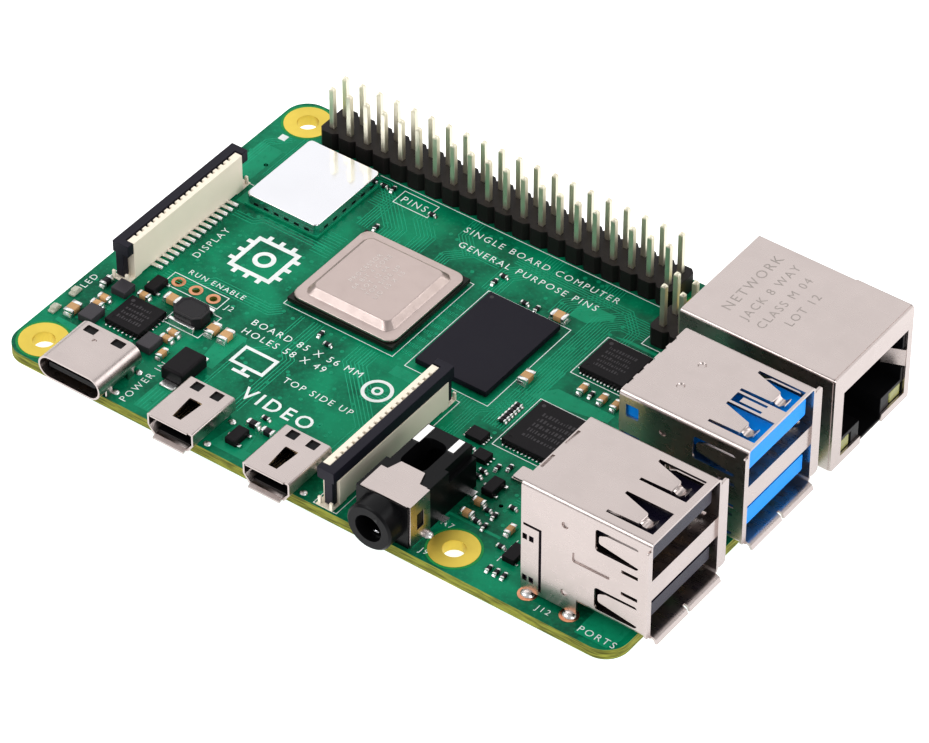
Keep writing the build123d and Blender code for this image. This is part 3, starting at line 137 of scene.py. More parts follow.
class Graph:
    """The node tree of one material."""

    def __init__(self, name: str) -> None:
        """Start a material that holds a Principled shader and its output.

        Args:
            name: the material's name.
        """
        self.material = bpy.data.materials.new(name)
        self.material.use_nodes = True
        self.tree = self.material.node_tree
        self.tree.nodes.clear()
        self.shader = self.add("ShaderNodeBsdfPrincipled")
        self.add("ShaderNodeOutputMaterial", inputs={"Surface": self.shader.outputs[0]})

    def add(self, kind: str, settings: dict | None = None, inputs: dict | None = None) -> bpy.types.Node:
        """Make a node.

        Args:
            kind: the node's type.
            settings: its properties; "stops" fills a colour ramp.
            inputs: values or links for its sockets, by name or number.

        Returns:
            The new node.
        """
        node = self.tree.nodes.new(kind)
        for key, value in (settings or {}).items():
            if key == "stops":
                ramp = node.color_ramp
                ramp.elements[0].position, ramp.elements[1].position = value[0][0], value[-1][0]
                ramp.elements[0].color, ramp.elements[1].color = (*value[0][1], 1), (*value[-1][1], 1)
                for position, colour in value[1:-1]:
                    ramp.elements.new(position).color = (*colour, 1)
            else:
                setattr(node, key, value)
        for key, value in (inputs or {}).items():
            self.feed(node.inputs[key], value)
        return node

    def feed(self, socket: bpy.types.NodeSocket, value: object) -> None:
        """Link a value or a socket to a socket, or set the socket's constant.

        Args:
            socket: the input to feed.
            value: a value, a socket, a colour or a number.
        """
        if isinstance(value, Value):
            value = value.socket
        if isinstance(value, bpy.types.NodeSocket):
            self.tree.links.new(value, socket)
        elif isinstance(value, tuple) and len(value) == 3 and len(socket.default_value) == 4:
            socket.default_value = (*value, 1)
        else:
            socket.default_value = value

    def place(self, stretch: Colour = (1, 1, 1)) -> bpy.types.NodeSocket:
        """Object coordinates in millimetres, stretched along the axes.

        Args:
            stretch: how much finer a pattern runs along each axis.

        Returns:
            The socket with the coordinates.
        """
        coordinates = self.add("ShaderNodeTexCoord").outputs["Object"]
        scaled = tuple(side / MM for side in stretch)
        settings = {"operation": "MULTIPLY"}
        return self.add("ShaderNodeVectorMath", settings, {0: coordinates, 1: scaled}).outputs[0]

    def noise(self, place: bpy.types.NodeSocket, scale: float, detail: float = 2.0) -> Value:
        """Smooth noise with its features about 1 / scale millimetres wide."""
        inputs = {"Vector": place, "Scale": scale, "Detail": detail}
        return Value(self, self.add("ShaderNodeTexNoise", None, inputs).outputs[0])

    def ease(self, value: Value, low: float, high: float) -> Value:
        """Spread the stretch between low and high over zero to one."""
        inputs = {"Value": value, "From Min": low, "From Max": high}
        return Value(self, self.add("ShaderNodeMapRange", None, inputs).outputs[0])

    def axis(self, name: str) -> Value:
        """One object coordinate in millimetres."""
        return Value(self, self.add("ShaderNodeSeparateXYZ", None, {0: self.place()}).outputs[name])

    def mix(self, factor: "Value | float", first: object, second: object) -> bpy.types.NodeSocket:
        """Blend two colours."""
        inputs = {0: factor, 6: first, 7: second}
        return self.add("ShaderNodeMix", {"data_type": "RGBA"}, inputs).outputs[2]

    def bump(self, height: Value, depth: float) -> bpy.types.NodeSocket:
        """Normal of a surface raised by a height, with its full depth in millimetres."""
        inputs = {"Height": height, "Distance": depth * MM, "Strength": 1.0}
        return self.add("ShaderNodeBump", None, inputs).outputs[0]

    def dress(self, **sockets: object) -> bpy.types.Material:
        """Feed the shader's sockets.

        Args:
            sockets: their values, named with underscores for spaces.

        Returns:
            The material.
        """
        for key, value in sockets.items():
            self.feed(self.shader.inputs[key.replace("_", " ")], value)
        return self.material


def shade(colour: Colour, factor: float) -> Colour:
    """The colour made darker or lighter."""
    return tuple(min(1.0, part * factor) for part in colour)


@dataclass(frozen=True)
class Moulded:
    """Moulded plastic, epoxy or ceramic with a fine mould grain.

    Attributes:
        name: the material's name.
        colour: its mean colour.
        roughness: its mean roughness.
        grain: grains to a millimetre.
        depth: the grain's depth in millimetres.
        drift: how much the colour drifts from place to place.
        specular: its share of specular reflection.
    """

    name: str
    colour: Colour
    roughness: float = 0.5
    grain: float = 7.0
    depth: float = 0.004
    drift: float = 0.16
    specular: float = 0.3

    def material(self) -> bpy.types.Material:
        """Build the material.

        Returns:
            The material, ready for a slot.
        """
        graph = Graph(self.name)
        place = graph.place()
        cloud = graph.noise(place, 0.35, 3.0)
        grain = graph.noise(place, self.grain, 3.0)
        speck = graph.ease(graph.noise(place, self.grain * 2.5), 0.62, 0.72)
        base = graph.mix(cloud, shade(self.colour, 1 - self.drift), shade(self.colour, 1 + self.drift))
        base = graph.mix(speck * 0.25, base, shade(self.colour, 1.8))
        return graph.dress(
            Base_Color=base,
            Roughness=self.roughness + (grain - 0.5) * 0.25 + (cloud - 0.5) * 0.12,
            Specular_IOR_Level=self.specular,
            Normal=graph.bump(grain, self.depth),
        )


@dataclass(frozen=True)
class Metal:
    """Rolled, plated or soldered metal.

    Attributes:
        name: the material's name.
        colour: its mean colour.
        roughness: its lowest roughness.
        stretch: how much finer the rolling lines run along each axis.
        depth: the lines' depth in millimetres.
        tarnish: how much darker the tarnished patches are.
    """

    name: str
    colour: Colour
    roughness: float = 0.28
    stretch: Colour = (0.25, 4.0, 4.0)
    depth: float = 0.0012
    tarnish: float = 0.12

    def material(self) -> bpy.types.Material:
        """Build the material.

        Returns:
            The material, ready for a slot.
        """
        graph = Graph(self.name)
        place = graph.place()
        lines = graph.noise(graph.place(self.stretch), 2.2, 4.0)
        cloud = graph.noise(place, 0.22, 3.0)
        smear = graph.ease(graph.noise(place, 0.7, 2.0), 0.45, 0.75)
        dull = shade(self.colour, 1 - self.tarnish)
        bright = shade(self.colour, 1 + self.tarnish * 0.5)
        base = graph.mix(cloud, dull, bright)
        return graph.dress(
            Base_Color=base,
            Metallic=1.0,
            Roughness=self.roughness + (lines - 0.5) * 0.12 + smear * 0.06,
            Normal=graph.bump(lines, self.depth),
        )


@dataclass(frozen=True)
class Clear:
    """Tinted clear plastic of a lamp or a light pipe."""

    name: str
    colour: Colour
    glow: float = 0.0

    def material(self) -> bpy.types.Material:
        """Build the material.

        Returns:
            The material, ready for a slot.
        """
        graph = Graph(self.name)
        cloud = graph.noise(graph.place(), 1.5, 2.0)
        base = graph.mix(cloud, shade(self.colour, 0.75), shade(self.colour, 1.15))
        return graph.dress(
            Base_Color=base,
            Roughness=0.12 + cloud * 0.12,
            Transmission_Weight=0.35,
            Emission_Color=base,
            Emission_Strength=self.glow,
        )


@dataclass(frozen=True)
class SolderMask:
    """Glossy mask over copper on both faces of the board, and bare laminate at its edge.

    Attributes:
        name: the material's name.
        copper: the mask's colour over copper.
        bare: the mask's colour where there is no copper.
        laminate: the colour of the cut edge.
        thick: the board's thickness in millimetres.
    """

    name: str
    copper: Colour
    bare: Colour
    laminate: Colour
    thick: float

    def material(self) -> bpy.types.Material:
        """Build the material.

        Returns:
            The material, ready for a slot.
        """
        graph = Graph(self.name)
        place = graph.place()
        height = graph.axis("Z")
        margin = 0.02
        edge = (height > margin) * (height < self.thick - margin)
        pours = graph.ease(graph.noise(place, 0.16, 4.0), 0.40, 0.62)
        warp = graph.noise(graph.place((1.0, 6.0, 1.0)), 1.4)
        weft = graph.noise(graph.place((6.0, 1.0, 1.0)), 1.4)
        weave = warp * weft
        fine = graph.noise(place, 2.4, 3.0)
        mask = graph.mix(pours, self.bare, self.copper)
        mask = graph.mix(graph.ease(fine, 0.35, 0.75) * 0.35, mask, shade(self.copper, 1.25))
        layers = graph.ease(graph.noise(graph.place((0.4, 0.4, 6.0)), 1.2, 2.0), 0.35, 0.65)
        side = graph.mix(layers, shade(self.laminate, 0.4), shade(self.laminate, 1.2))
        return graph.dress(
            Base_Color=graph.mix(edge, mask, side),
            Roughness=0.26 + edge * 0.35 + (fine - 0.5) * 0.1,
            Specular_IOR_Level=0.14,
            Normal=graph.bump(weave + pours * 0.4, 0.008),
        )


@dataclass(frozen=True)
class Etched:
    """Copper under the mask, or ink on top of it: a thin layer with a slightly uneven colour."""

    name: str
    colour: Colour
    roughness: float = 0.3
    specular: float = 0.14

    def material(self) -> bpy.types.Material:
        """Build the material.

        Returns:
            The material, ready for a slot.
        """
        graph = Graph(self.name)
        cloud = graph.noise(graph.place(), 1.2, 3.0)
        base = graph.mix(cloud, shade(self.colour, 0.82), shade(self.colour, 1.15))
        return graph.dress(
            Base_Color=base,
            Roughness=self.roughness + (cloud - 0.5) * 0.2,
            Specular_IOR_Level=self.specular,
            Normal=graph.bump(cloud, 0.004),
        )


class Finish(Enum):
    """Every finish of the board and its parts."""

    MASK = SolderMask(
        "solder_mask", (0.003, 0.260, 0.132), (0.001, 0.105, 0.055), (0.27, 0.28, 0.05), 1.4
    )
    COPPER = Etched("mask_over_copper", (0.010, 0.310, 0.165))
    TRACE = Etched("mask_over_trace", (0.022, 0.400, 0.225))
    HOLLOW = Etched("mask_over_gap", (0.020, 0.300, 0.080))
    INK = Etched("white_ink", (0.88, 0.94, 0.92), 0.6)
    GOLD = Metal("ring_gold", (0.80, 0.62, 0.13), 0.42, (3.0, 3.0, 3.0), 0.003, 0.2)
    COPPER_RING = Metal("copper_ring", (0.72, 0.36, 0.22), 0.38)
    PIN = Metal("pin_plating", (1.0, 0.89, 0.73), 0.45, (4.0, 4.0, 0.25), tarnish=0.25)
    SOLDER = Metal("solder", (0.90, 0.89, 0.88), 0.27, (1.0, 1.0, 1.0), 0.006)
    STEEL = Metal("shell_steel", (0.545, 0.48, 0.462), 0.28, tarnish=0.08)
    LID = Metal("lid_nickel", (0.54, 0.45, 0.425), 0.36, (2.0, 2.0, 2.0), 0.002, 0.06)
    CAN = Metal("polished_can", (0.74, 0.74, 0.77), 0.10, (0.5, 0.5, 0.5), 0.002, 0.04)
    CONTACT = Metal("contact_gold", (0.86, 0.68, 0.40), 0.25)
    HEADER = Moulded("header_plastic", (0.020, 0.016, 0.016), 0.42, 5.0, specular=0.22)
    BLACK = Moulded("black_plastic", (0.006, 0.006, 0.007), 0.34, 6.0, 0.003, specular=0.2)
    TONGUE = Moulded("tongue_plastic", (0.012, 0.010, 0.026), 0.3, 6.0, 0.003, specular=0.3)
    BLUE = Moulded("blue_plastic", (0.0, 0.28, 0.86), 0.36, 5.0, 0.003, 0.06, 0.2)
    CREAM = Moulded("cream_plastic", (0.96, 0.87, 0.73), 0.42, 5.0, 0.003, 0.04, 0.3)
    LATCH = Moulded("latch_plastic", (0.018, 0.016, 0.026), 0.45, 5.0, 0.004, specular=0.22)
    EPOXY = Moulded("chip_epoxy", (0.012, 0.010, 0.012), 0.52, 9.0, 0.004, 0.12, 0.2)
    MEMORY = Moulded("memory_epoxy", (0.014, 0.012, 0.021), 0.48, 10.0, 0.003, 0.06, 0.2)
    FERRITE = Moulded("ferrite", (0.022, 0.020, 0.023), 0.45, 9.0, 0.006)
    GREY = Moulded("grey_ferrite", (0.060, 0.055, 0.062), 0.42, 8.0, 0.006)
    CERAMIC = Moulded("tan_ceramic", (0.60, 0.36, 0.17), 0.45, 8.0, 0.004, 0.3)
    RESISTOR = Moulded("resistor_film", (0.016, 0.016, 0.020), 0.35, 8.0)
    LAMINATE = Moulded("package_laminate", (0.012, 0.014, 0.010), 0.4, 6.0)
    MARK = Moulded("laser_mark", (0.060, 0.055, 0.060), 0.6, 8.0)
    FROST = Moulded("frosted_mark", (0.66, 0.60, 0.57), 0.6, 8.0)
    ENGRAVED = Moulded("engraved_mark", (0.36, 0.32, 0.30), 0.6, 8.0)
    LAMP = Clear("lamp_lens", (0.85, 0.85, 0.70))
    PIPE = Clear("light_pipe", (0.40, 0.40, 0.12))


class Palette:
    """Builds each finish's material once."""

    def __init__(self) -> None:
        """Start with no material built."""
        self.made: dict[Finish, bpy.types.Material] = {}

    def get(self, finish: Finish) -> bpy.types.Material:
        """The material of a finish."""
        if finish not in self.made:
            self.made[finish] = finish.value.material()
        return self.made[finish]


palette = Palette()


# ---------------------------------------------------------------- modelling by hand
def select_only(piece: bpy.types.Object) -> None:
    """Make one object the only selected and the active one.

    Args:
        piece: the object.
    """
    bpy.ops.object.select_all(action="DESELECT")
    piece.select_set(True)
    bpy.context.view_layer.objects.active = piece


@contextmanager
def editing(piece: bpy.types.Object) -> Iterator[None]:
    """Edit mode on one object, with everything in it selected.

    Args:
        piece: the object.

    Returns:
        Nothing, while the block that follows runs in edit mode.
    """
    select_only(piece)
    bpy.ops.object.mode_set(mode="EDIT")
    bpy.ops.mesh.select_all(action="SELECT")
    yield
    bpy.ops.object.mode_set(mode="OBJECT")


FACING = 0.9


def faces_up(normal: Vector) -> bool:
    """Whether a face looks up."""
    return normal.z > FACING


def faces_down(normal: Vector) -> bool:
    """Whether a face looks down."""
    return normal.z < -FACING


def faces_up_or_down(normal: Vector) -> bool:
    """Whether a face lies level."""
    return abs(normal.z) > FACING


def faces_sideways(normal: Vector) -> bool:
    """Whether a face stands upright or slopes."""
    return abs(normal.z) < FACING


def pick(piece: bpy.types.Object, test: Callable[[Vector], bool]) -> None:
    """Select, in edit mode, only the faces that pass a test.

    Args:
        piece: the object being edited.
        test: takes a face's normal.
    """
    bpy.ops.mesh.select_mode(type="FACE")
    shape = bmesh.from_edit_mesh(piece.data)
    for face in shape.faces:
        face.select_set(test(face.normal))
    shape.select_flush_mode()
    bmesh.update_edit_mesh(piece.data)


def block(name: str, low: Vector, high: Vector) -> bpy.types.Object:
    """Add a block, as the start of a piece.

    Args:
        name: the piece's name.
        low: its lowest corner, in metres.
        high: its highest corner.

    Returns:
        The new object.
    """
    bpy.ops.object.select_all(action="DESELECT")
    bpy.ops.mesh.primitive_cube_add(size=1, location=(low + high) / 2)
    piece = bpy.context.object
    piece.name = name
    piece.scale = high - low
    bpy.ops.object.transform_apply(location=True, rotation=True, scale=True)
    return piece


def disc(name: str, centre: Vector, radius: float, height: float, sides: int) -> bpy.types.Object:
    """Add an upright cylinder, as the start of a piece.

    Args:
        name: the piece's name.
        centre: centre of its foot, in metres.
        radius: its radius.
        height: its height.
        sides: faces round it.

    Returns:
        The new object.
    """
    bpy.ops.object.select_all(action="DESELECT")
    waist = centre + Vector((0, 0, height / 2))
    bpy.ops.mesh.primitive_cylinder_add(vertices=sides, radius=radius, depth=height, location=waist)
    piece = bpy.context.object
    piece.name = name
    bpy.ops.object.transform_apply(location=True, rotation=True, scale=True)
    return piece


def soften(
    piece: bpy.types.Object, width: float, segments: int = 2, angle: float = 35.0
) -> bpy.types.Object:
    """Round a piece's sharp edges and smooth its shading.

    Args:
        piece: the object.
        width: the rounding's width in millimetres.
        segments: faces across the rounding.
        angle: edges sharper than this many degrees are rounded.

    Returns:
        The same object.
    """
    select_only(piece)
    bevel = piece.modifiers.new("rounding", "BEVEL")
    bevel.width = width * MM
    bevel.segments = segments
    bevel.limit_method = "ANGLE"
    bevel.angle_limit = math.radians(angle)
    bevel.harden_normals = True
    bpy.ops.object.modifier_apply(modifier=bevel.name)
    bpy.ops.object.shade_smooth_by_angle(angle=math.radians(angle))
    weighted = piece.modifiers.new("flat faces", "WEIGHTED_NORMAL")
    weighted.keep_sharp = True
    bpy.ops.object.modifier_apply(modifier=weighted.name)
    return piece


def round_uprights(piece: bpy.types.Object, width: float, segments: int) -> None:
    """Round or cut the upright edges of a piece.

    Args:
        piece: the object.
        width: how far the cut reaches, in millimetres.
        segments: faces across it; one makes a flat cut.
    """
    with editing(piece):
        bpy.ops.mesh.select_mode(type="EDGE")
        shape = bmesh.from_edit_mesh(piece.data)
        for edge in shape.edges:
            along = (edge.verts[0].co - edge.verts[1].co).normalized()
            edge.select_set(abs(along.z) > FACING)
        bmesh.update_edit_mesh(piece.data)
        bpy.ops.mesh.bevel(offset=width * MM, segments=segments, affect="EDGES")


def copy_node(node: str, name: str) -> bpy.types.Object:
    """Merge a copy of a CAD node's mesh and clear the lines across its flat faces.

    Args:
        node: the CAD node.
        name: the copy's name.

    Returns:
        The copy.
    """
    piece = bpy.data.objects.new(name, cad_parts[node].data.copy())
    bpy.context.scene.collection.objects.link(piece)
    piece.data.materials.clear()
    with editing(piece):
        bpy.ops.mesh.remove_doubles(threshold=1e-6)
        bpy.ops.mesh.dissolve_limited(angle_limit=math.radians(0.5))
    return piece


def join(name: str, pieces: Sequence[bpy.types.Object]) -> bpy.types.Object:
    """Join objects into one.

    Args:
        name: the joined object's name.
        pieces: the objects.

    Returns:
        The joined object.
    """
    select_only(pieces[0])
    for piece in pieces:
        piece.select_set(True)
    bpy.ops.object.join()
    joined = bpy.context.object
    joined.name = name
    return joined


def repeat(name: str, pattern: bpy.types.Object, places: Sequence[Matrix]) -> bpy.types.Object:
    """Copy a pattern's mesh to many places in one new object, and remove the pattern.

    Args:
        name: the new object's name.
        pattern: the modelled piece, about the origin.
        places: one transform for each copy.

    Returns:
        The object that holds all copies.
    """
    shape = bmesh.new()
    for place in places:
        start = len(shape.verts)
        shape.from_mesh(pattern.data)
        shape.verts.ensure_lookup_table()
        bmesh.ops.transform(shape, matrix=place, verts=shape.verts[start:])
    mesh = bpy.data.meshes.new(name)
    shape.to_mesh(mesh)
    shape.free()
    piece = bpy.data.objects.new(name, mesh)
    bpy.context.scene.collection.objects.link(piece)
    bpy.data.objects.remove(pattern)
    return piece


def islands(node: str) -> list[Box]:
    """Find the separate solids of a CAD node.

    Args:
        node: the CAD node.

    Returns:
        The lowest and the highest corner of each solid.
    """
    shape = bmesh.new()
    shape.from_mesh(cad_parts[node].data)
    bmesh.ops.remove_doubles(shape, verts=shape.verts, dist=1e-6)
    seen: set[int] = set()
    boxes = []
    for start in shape.verts:
        if start.index in seen:
            continue
        seen.add(start.index)
        queue, corners = [start], []
        while queue:
            vertex = queue.pop()
            corners.append(vertex.co.copy())
            for edge in vertex.link_edges:
                other = edge.other_vert(vertex)
                if other.index not in seen:
                    seen.add(other.index)
                    queue.append(other)
        low = Vector(min(corner[axis] for corner in corners) for axis in range(3))
        high = Vector(max(corner[axis] for corner in corners) for axis in range(3))
        boxes.append((low, high))
    shape.free()
    return boxes


def middle(box: Box) -> Vector:
    """Centre of a box."""
    return (box[0] + box[1]) / 2


def settle(
    piece: bpy.types.Object, finish: Finish, replaced: Sequence[str] = (), body: str = "board"
) -> bpy.types.Object:
    """Dress a new piece and hand it to the frame.

    Args:
        piece: the finished object.
        finish: its finish.
        replaced: CAD nodes that it stands for.
        body: the CAD body that it rides on.

    Returns:
        The same object.
    """
    piece.data.materials.clear()
    piece.data.materials.append(palette.get(finish))
    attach(piece, body)
    if replaced:
        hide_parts(*replaced)
    log.info("%s: %d faces, %s", piece.name, len(piece.data.polygons), finish.value.name)
    return piece


def dress(finish: Finish, *nodes: str) -> None:
    """Give CAD nodes that keep their shape a finish.

    Args:
        finish: the finish.
        nodes: the CAD nodes.
    """
    for node in nodes:
        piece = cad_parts[node]
        piece.data.materials.clear()
        piece.data.materials.append(palette.get(finish))
        log.info("%s: kept, %s", node, finish.value.name)


def round_off(finish: Finish, slot: str, width: float, *nodes: str, body: str = "board") -> None:
    """Replace CAD nodes by copies of the same shape with rounded edges.

    Args:
        finish: their finish.
        slot: the record's material slot; it is not used.
        width: the rounding's width in millimetres.
        nodes: the CAD nodes.
        body: the CAD body that they ride on.
    """
    for node in nodes:
        piece = soften(copy_node(node, node + "_rounded"), width)
        settle(piece, finish, [node], body)


# ---------------------------------------------------------------- the board
@dataclass
class Layout:
    """Turns places on the board, in millimetres from its corner, into the frame's metres."""

    low: Vector = field(default_factory=lambda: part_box("circuit_board")[0])
    high: Vector = field(default_factory=lambda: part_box("circuit_board")[1])

    def at(self, x: float, y: float, up: float = 0.0) -> Vector:
        """A point above the board's top face.

        Args:
            x: millimetres from the board's corner.
            y: millimetres from the board's corner.
            up: millimetres above the top face.

        Returns:
            The point in the frame's metres.
        """
        return Vector((self.low.x + x * MM, self.low.y + y * MM, self.high.z + up * MM))

    def of(self, node: str) -> tuple[float, float, float, float]:
        """A node's extent on the board.

        Args:
            node: the CAD node.

        Returns:
            Its low X and Y and its high X and Y, in millimetres from the board's corner.
        """
        low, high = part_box(node)
        corner = self.low
        near = ((low.x - corner.x) / MM, (low.y - corner.y) / MM)
        return (*near, (high.x - corner.x) / MM, (high.y - corner.y) / MM)


layout = Layout()


def beside(points: Sequence[Point], shift: float) -> list[Point]:
    """A path moved sideways by a distance, with its corners mitred.

    Args:
        points: the path's corners.
        shift: the distance to the left of the path's direction.

    Returns:
        The moved corners.
    """
    moved = []
    for index, point in enumerate(points):
        here = Vector(point)
        before = (here - Vector(points[index - 1])).normalized() if index else None
        after = (Vector(points[index + 1]) - here).normalized() if index + 1 < len(points) else None
        first, second = before or after, after or before
        normal = Vector((-first.y, first.x)) + Vector((-second.y, second.x))
        normal = normal / normal.length_squared * 2
        moved.append(tuple(here + normal * shift))
    return moved


TRACK_WIDTH = 0.13


@dataclass(frozen=True)
class Bundle:
    """Parallel tracks: the first one's corners, how many there are, their pitch and width."""

    points: tuple[Point, ...]
    count: int = 1
    pitch: float = 0.3
    width: float = TRACK_WIDTH


def meander(x: float, y: float, length: float, swing: float, turns: int) -> tuple[Point, ...]:
    """Corners of a track folded back and forth to add length.

    Args:
        x: where it starts.
        y: where it starts.
        length: its whole length along X.
        swing: how far it folds along Y.
        turns: how many folds.

    Returns:
        The corners in order.
    """
    step = length / turns
    points = [(x, y)]
    for turn in range(turns):
        side = swing if turn % 2 == 0 else 0
        points += [(x + step * turn, y + side), (x + step * (turn + 1), y + side)]
    return tuple(points)


@dataclass
class Tracks:
    """Copper tracks, pours and via rings just under the mask."""

    rise: float = 0.012
    via_radius: float = 0.26
    via_hole: float = 0.11
    via_rise: float = 0.02
    via_sink: float = 0.015
    via_count: int = 260
    via_grid: float = 0.4
    via_gap: float = 0.6
    via_edge: Point = (1.0, 0.8)
    pour_rise: float = 0.007
    meander_start: Point = (37.15, 26.0)
    meander_step: float = 1.4
    meander_count: int = 8
    bundles: tuple[Bundle, ...] = (
        Bundle(((6.9, 34.6), (9.4, 34.6), (10.4, 35.6), (19.4, 35.6)), 3, -0.45),
        Bundle(((7.2, 21.6), (10.5, 21.6), (12.5, 23.6), (20.6, 23.6), (21.4, 24.4)), 5, -0.4),
        Bundle(((18.2, 45.0), (20.0, 45.0), (22.6, 42.4), (22.6, 40.4)), 7, 0.42),
        Bundle(((18.0, 38.0), (20.6, 38.0)), 9, -0.5),
        Bundle(((24.6, 24.2), (24.6, 17.6), (22.6, 15.6), (22.6, 7.4)), 2, 0.35),
        Bundle(((26.4, 24.2), (26.4, 18.0), (27.4, 17.0), (27.4, 7.0)), 4, 0.42),
        Bundle(((33.0, 24.2), (33.0, 20.8), (41.0, 12.8), (41.0, 7.2)), 6, 0.42),
        Bundle(((35.8, 24.2), (35.8, 21.6), (38.4, 19.0), (43.2, 19.0)), 4, -0.4),
        Bundle(((51.6, 22.0), (51.6, 44.2), (54.0, 46.6), (58.4, 46.6)), 9, -0.36),
        Bundle(((50.6, 17.6), (50.6, 23.0), (54.6, 27.0), (54.6, 34.0)), 5, 0.36),
        Bundle(((64.2, 27.4), (66.4, 27.4), (67.6, 28.6), (71.0, 28.6)), 5, -0.5),
        Bundle(((64.2, 22.4), (66.0, 22.4), (70.0, 18.4), (70.0, 14.0)), 5, -0.5),
        Bundle(((62.0, 38.6), (64.6, 38.6), (66.4, 40.4), (67.4, 40.4)), 8, -0.5),
        Bundle(((56.4, 41.6), (56.4, 44.0), (54.2, 46.2), (38.6, 46.2)), 4, -0.36),
        Bundle(((26.6, 40.6), (26.6, 43.4), (24.4, 45.6), (24.4, 46.4)), 6, -0.42),
        Bundle(((32.2, 40.6), (32.2, 42.2), (34.2, 44.2), (37.6, 44.2)), 5, 0.36),
        Bundle(((40.4, 40.4), (40.4, 43.6), (43.4, 46.6), (43.4, 49.6)), 7, 0.38),
        Bundle(((9.0, 49.6), (9.0, 49.3), (18.6, 49.3), (21.0, 46.9), (21.0, 41.0)), 5, -0.36),
        Bundle(((1.4, 20.0), (1.4, 47.0), (3.6, 49.2)), 4, -0.34),
        Bundle(((5.2, 41.4), (5.2, 50.4)), 5, -0.34),
        Bundle(((63.6, 33.6), (66.8, 33.6), (68.8, 35.6), (70.8, 35.6)), 6, 0.34),
        Bundle(((44.0, 22.4), (44.0, 24.4)), 14, -0.42),
        Bundle(((19.0, 1.2), (19.0, 4.8)), 5, -0.5, 0.2),
        Bundle(((62.4, 13.4), (66.2, 13.4), (68.4, 15.6), (68.4, 18.6)), 4, 0.4),
        Bundle(((46.8, 41.4), (46.8, 44.2), (49.8, 47.2), (49.8, 49.6)), 7, -0.38),
        Bundle(((33.2, 43.6), (30.4, 46.4), (30.4, 49.6)), 5, -0.38),
        Bundle(((77.6, 17.2), (80.6, 17.2), (82.4, 19.0)), 6, -0.4),
        Bundle(((79.6, 35.0), (83.8, 35.0)), 4, -0.4),
    )
    pours: tuple[tuple[Point, ...], ...] = (
        ((18.6, 1.0), (22.0, 1.0), (22.0, 5.0), (20.8, 6.2), (18.6, 6.2)),
        ((29.4, 1.0), (35.4, 1.0), (35.4, 2.4), (33.6, 2.4), (33.0, 5.0), (30.0, 5.0)),
        ((53.4, 28.6), (56.0, 28.6), (63.2, 30.0), (63.2, 31.4), (55.4, 31.4)),
        ((55.2, 42.4), (61.0, 42.4), (63.6, 39.8), (66.4, 39.8), (66.4, 42.8), (57.0, 42.9)),
        ((64.6, 29.6), (70.6, 29.6), (70.6, 33.0), (66.6, 33.0), (64.6, 31.0)),
        ((8.6, 4.6), (6.0, 7.6), (2.2, 7.6), (2.2, 7.0), (6.6, 6.2)),
        ((1.2, 40.0), (4.6, 40.0), (4.6, 46.4), (1.2, 46.4)),
        ((20.0, 10.9), (22.0, 10.9), (22.0, 17.4), (19.0, 17.4), (19.0, 17.0)),
        ((42.6, 22.2), (38.4, 22.2), (38.4, 23.8), (42.6, 23.8)),
        ((49.0, 42.4), (51.4, 42.4), (53.6, 44.6), (53.6, 45.4), (49.0, 45.4)),
        ((6.9, 36.0), (6.9, 40.0), (5.6, 40.0), (5.6, 36.0)),
        ((65.4, 10.4), (70.4, 10.4), (70.4, 12.6), (65.4, 12.6)),
        ((57.0, 1.0), (57.8, 1.0), (57.8, 7.6), (64.6, 7.6), (64.6, 8.0), (57.0, 8.0)),
        ((79.4, 0.8), (83.6, 0.8), (84.2, 2.6), (84.2, 16.4), (79.4, 16.4)),
    )
    crowded: tuple[str, ...] = (
        "processor_substrate",
        "memory_package",
        "wireless_base",
        "port_controller_chip",
        "network_chip",
        "power_manager_chip",
        "dual_port_a_shell",
        "dual_port_b_shell",
        "network_jack_shell",
        "gpio_header_base",
        "power_header_base",
        "audio_jack_body",
        "power_socket_shell",
        "video_socket_1_shell",
        "video_socket_2_shell",
        "display_connector_housing",
        "camera_connector_housing",
    )

    def lay_tracks(self) -> None:
        """Draw every bundle as flattened round strips."""
        meanders = []
        for number in range(self.meander_count):
            y = self.meander_start[1] + number * self.meander_step
            points = meander(self.meander_start[0], y, 1.9, 0.5, 8)
            meanders.append(Bundle(points, 1, 0.3, 0.12))
        splines = []
        for bundle in (*self.bundles, *meanders):
            for number in range(bundle.count):
                splines.append((beside(bundle.points, number * bundle.pitch), bundle.width))
        curve = bpy.data.curves.new("tracks", "CURVE")
        curve.dimensions = "3D"
        curve.bevel_depth = 0.5 * MM
        curve.bevel_resolution = 1
        curve.use_fill_caps = True
        for points, width in splines:
            spline = curve.splines.new("POLY")
            spline.points.add(len(points) - 1)
            for corner, (x, y) in zip(spline.points, points):
                corner.co = (*layout.at(x, y), 1)
                corner.radius = width
        tracks = bpy.data.objects.new("tracks", curve)
        bpy.context.scene.collection.objects.link(tracks)
        select_only(tracks)
        bpy.ops.object.convert(target="MESH")
        tracks = bpy.context.object
        with editing(tracks):
            flatten = 2 * self.rise / TRACK_WIDTH
            bpy.ops.transform.resize(value=(1, 1, flatten), center_override=layout.at(0, 0))
        settle(tracks, Finish.TRACE)
        self.copy_below(tracks, "tracks_below")

    def copy_below(self, piece: bpy.types.Object, name: str) -> None:
        """Repeat a top layer on the underside.

        Args:
            piece: the layer.
            name: the copy's name.
        """
        layer = bpy.data.objects.new(name, piece.data.copy())
        bpy.context.scene.collection.objects.link(layer)
        with editing(layer):
            bpy.ops.transform.resize(value=(1, 1, -1), center_override=(layout.low + layout.high) / 2)
            bpy.ops.mesh.normals_make_consistent(inside=False)
        settle(layer, Finish.TRACE)

    def pour_copper(self) -> None:
        """Lay the copper areas that show lighter through the mask."""
        plates = []
        for outline in self.pours:
            plates.append(flat_outline("pour", outline, self.pour_rise))
        settle(join("copper_pours", plates), Finish.COPPER)

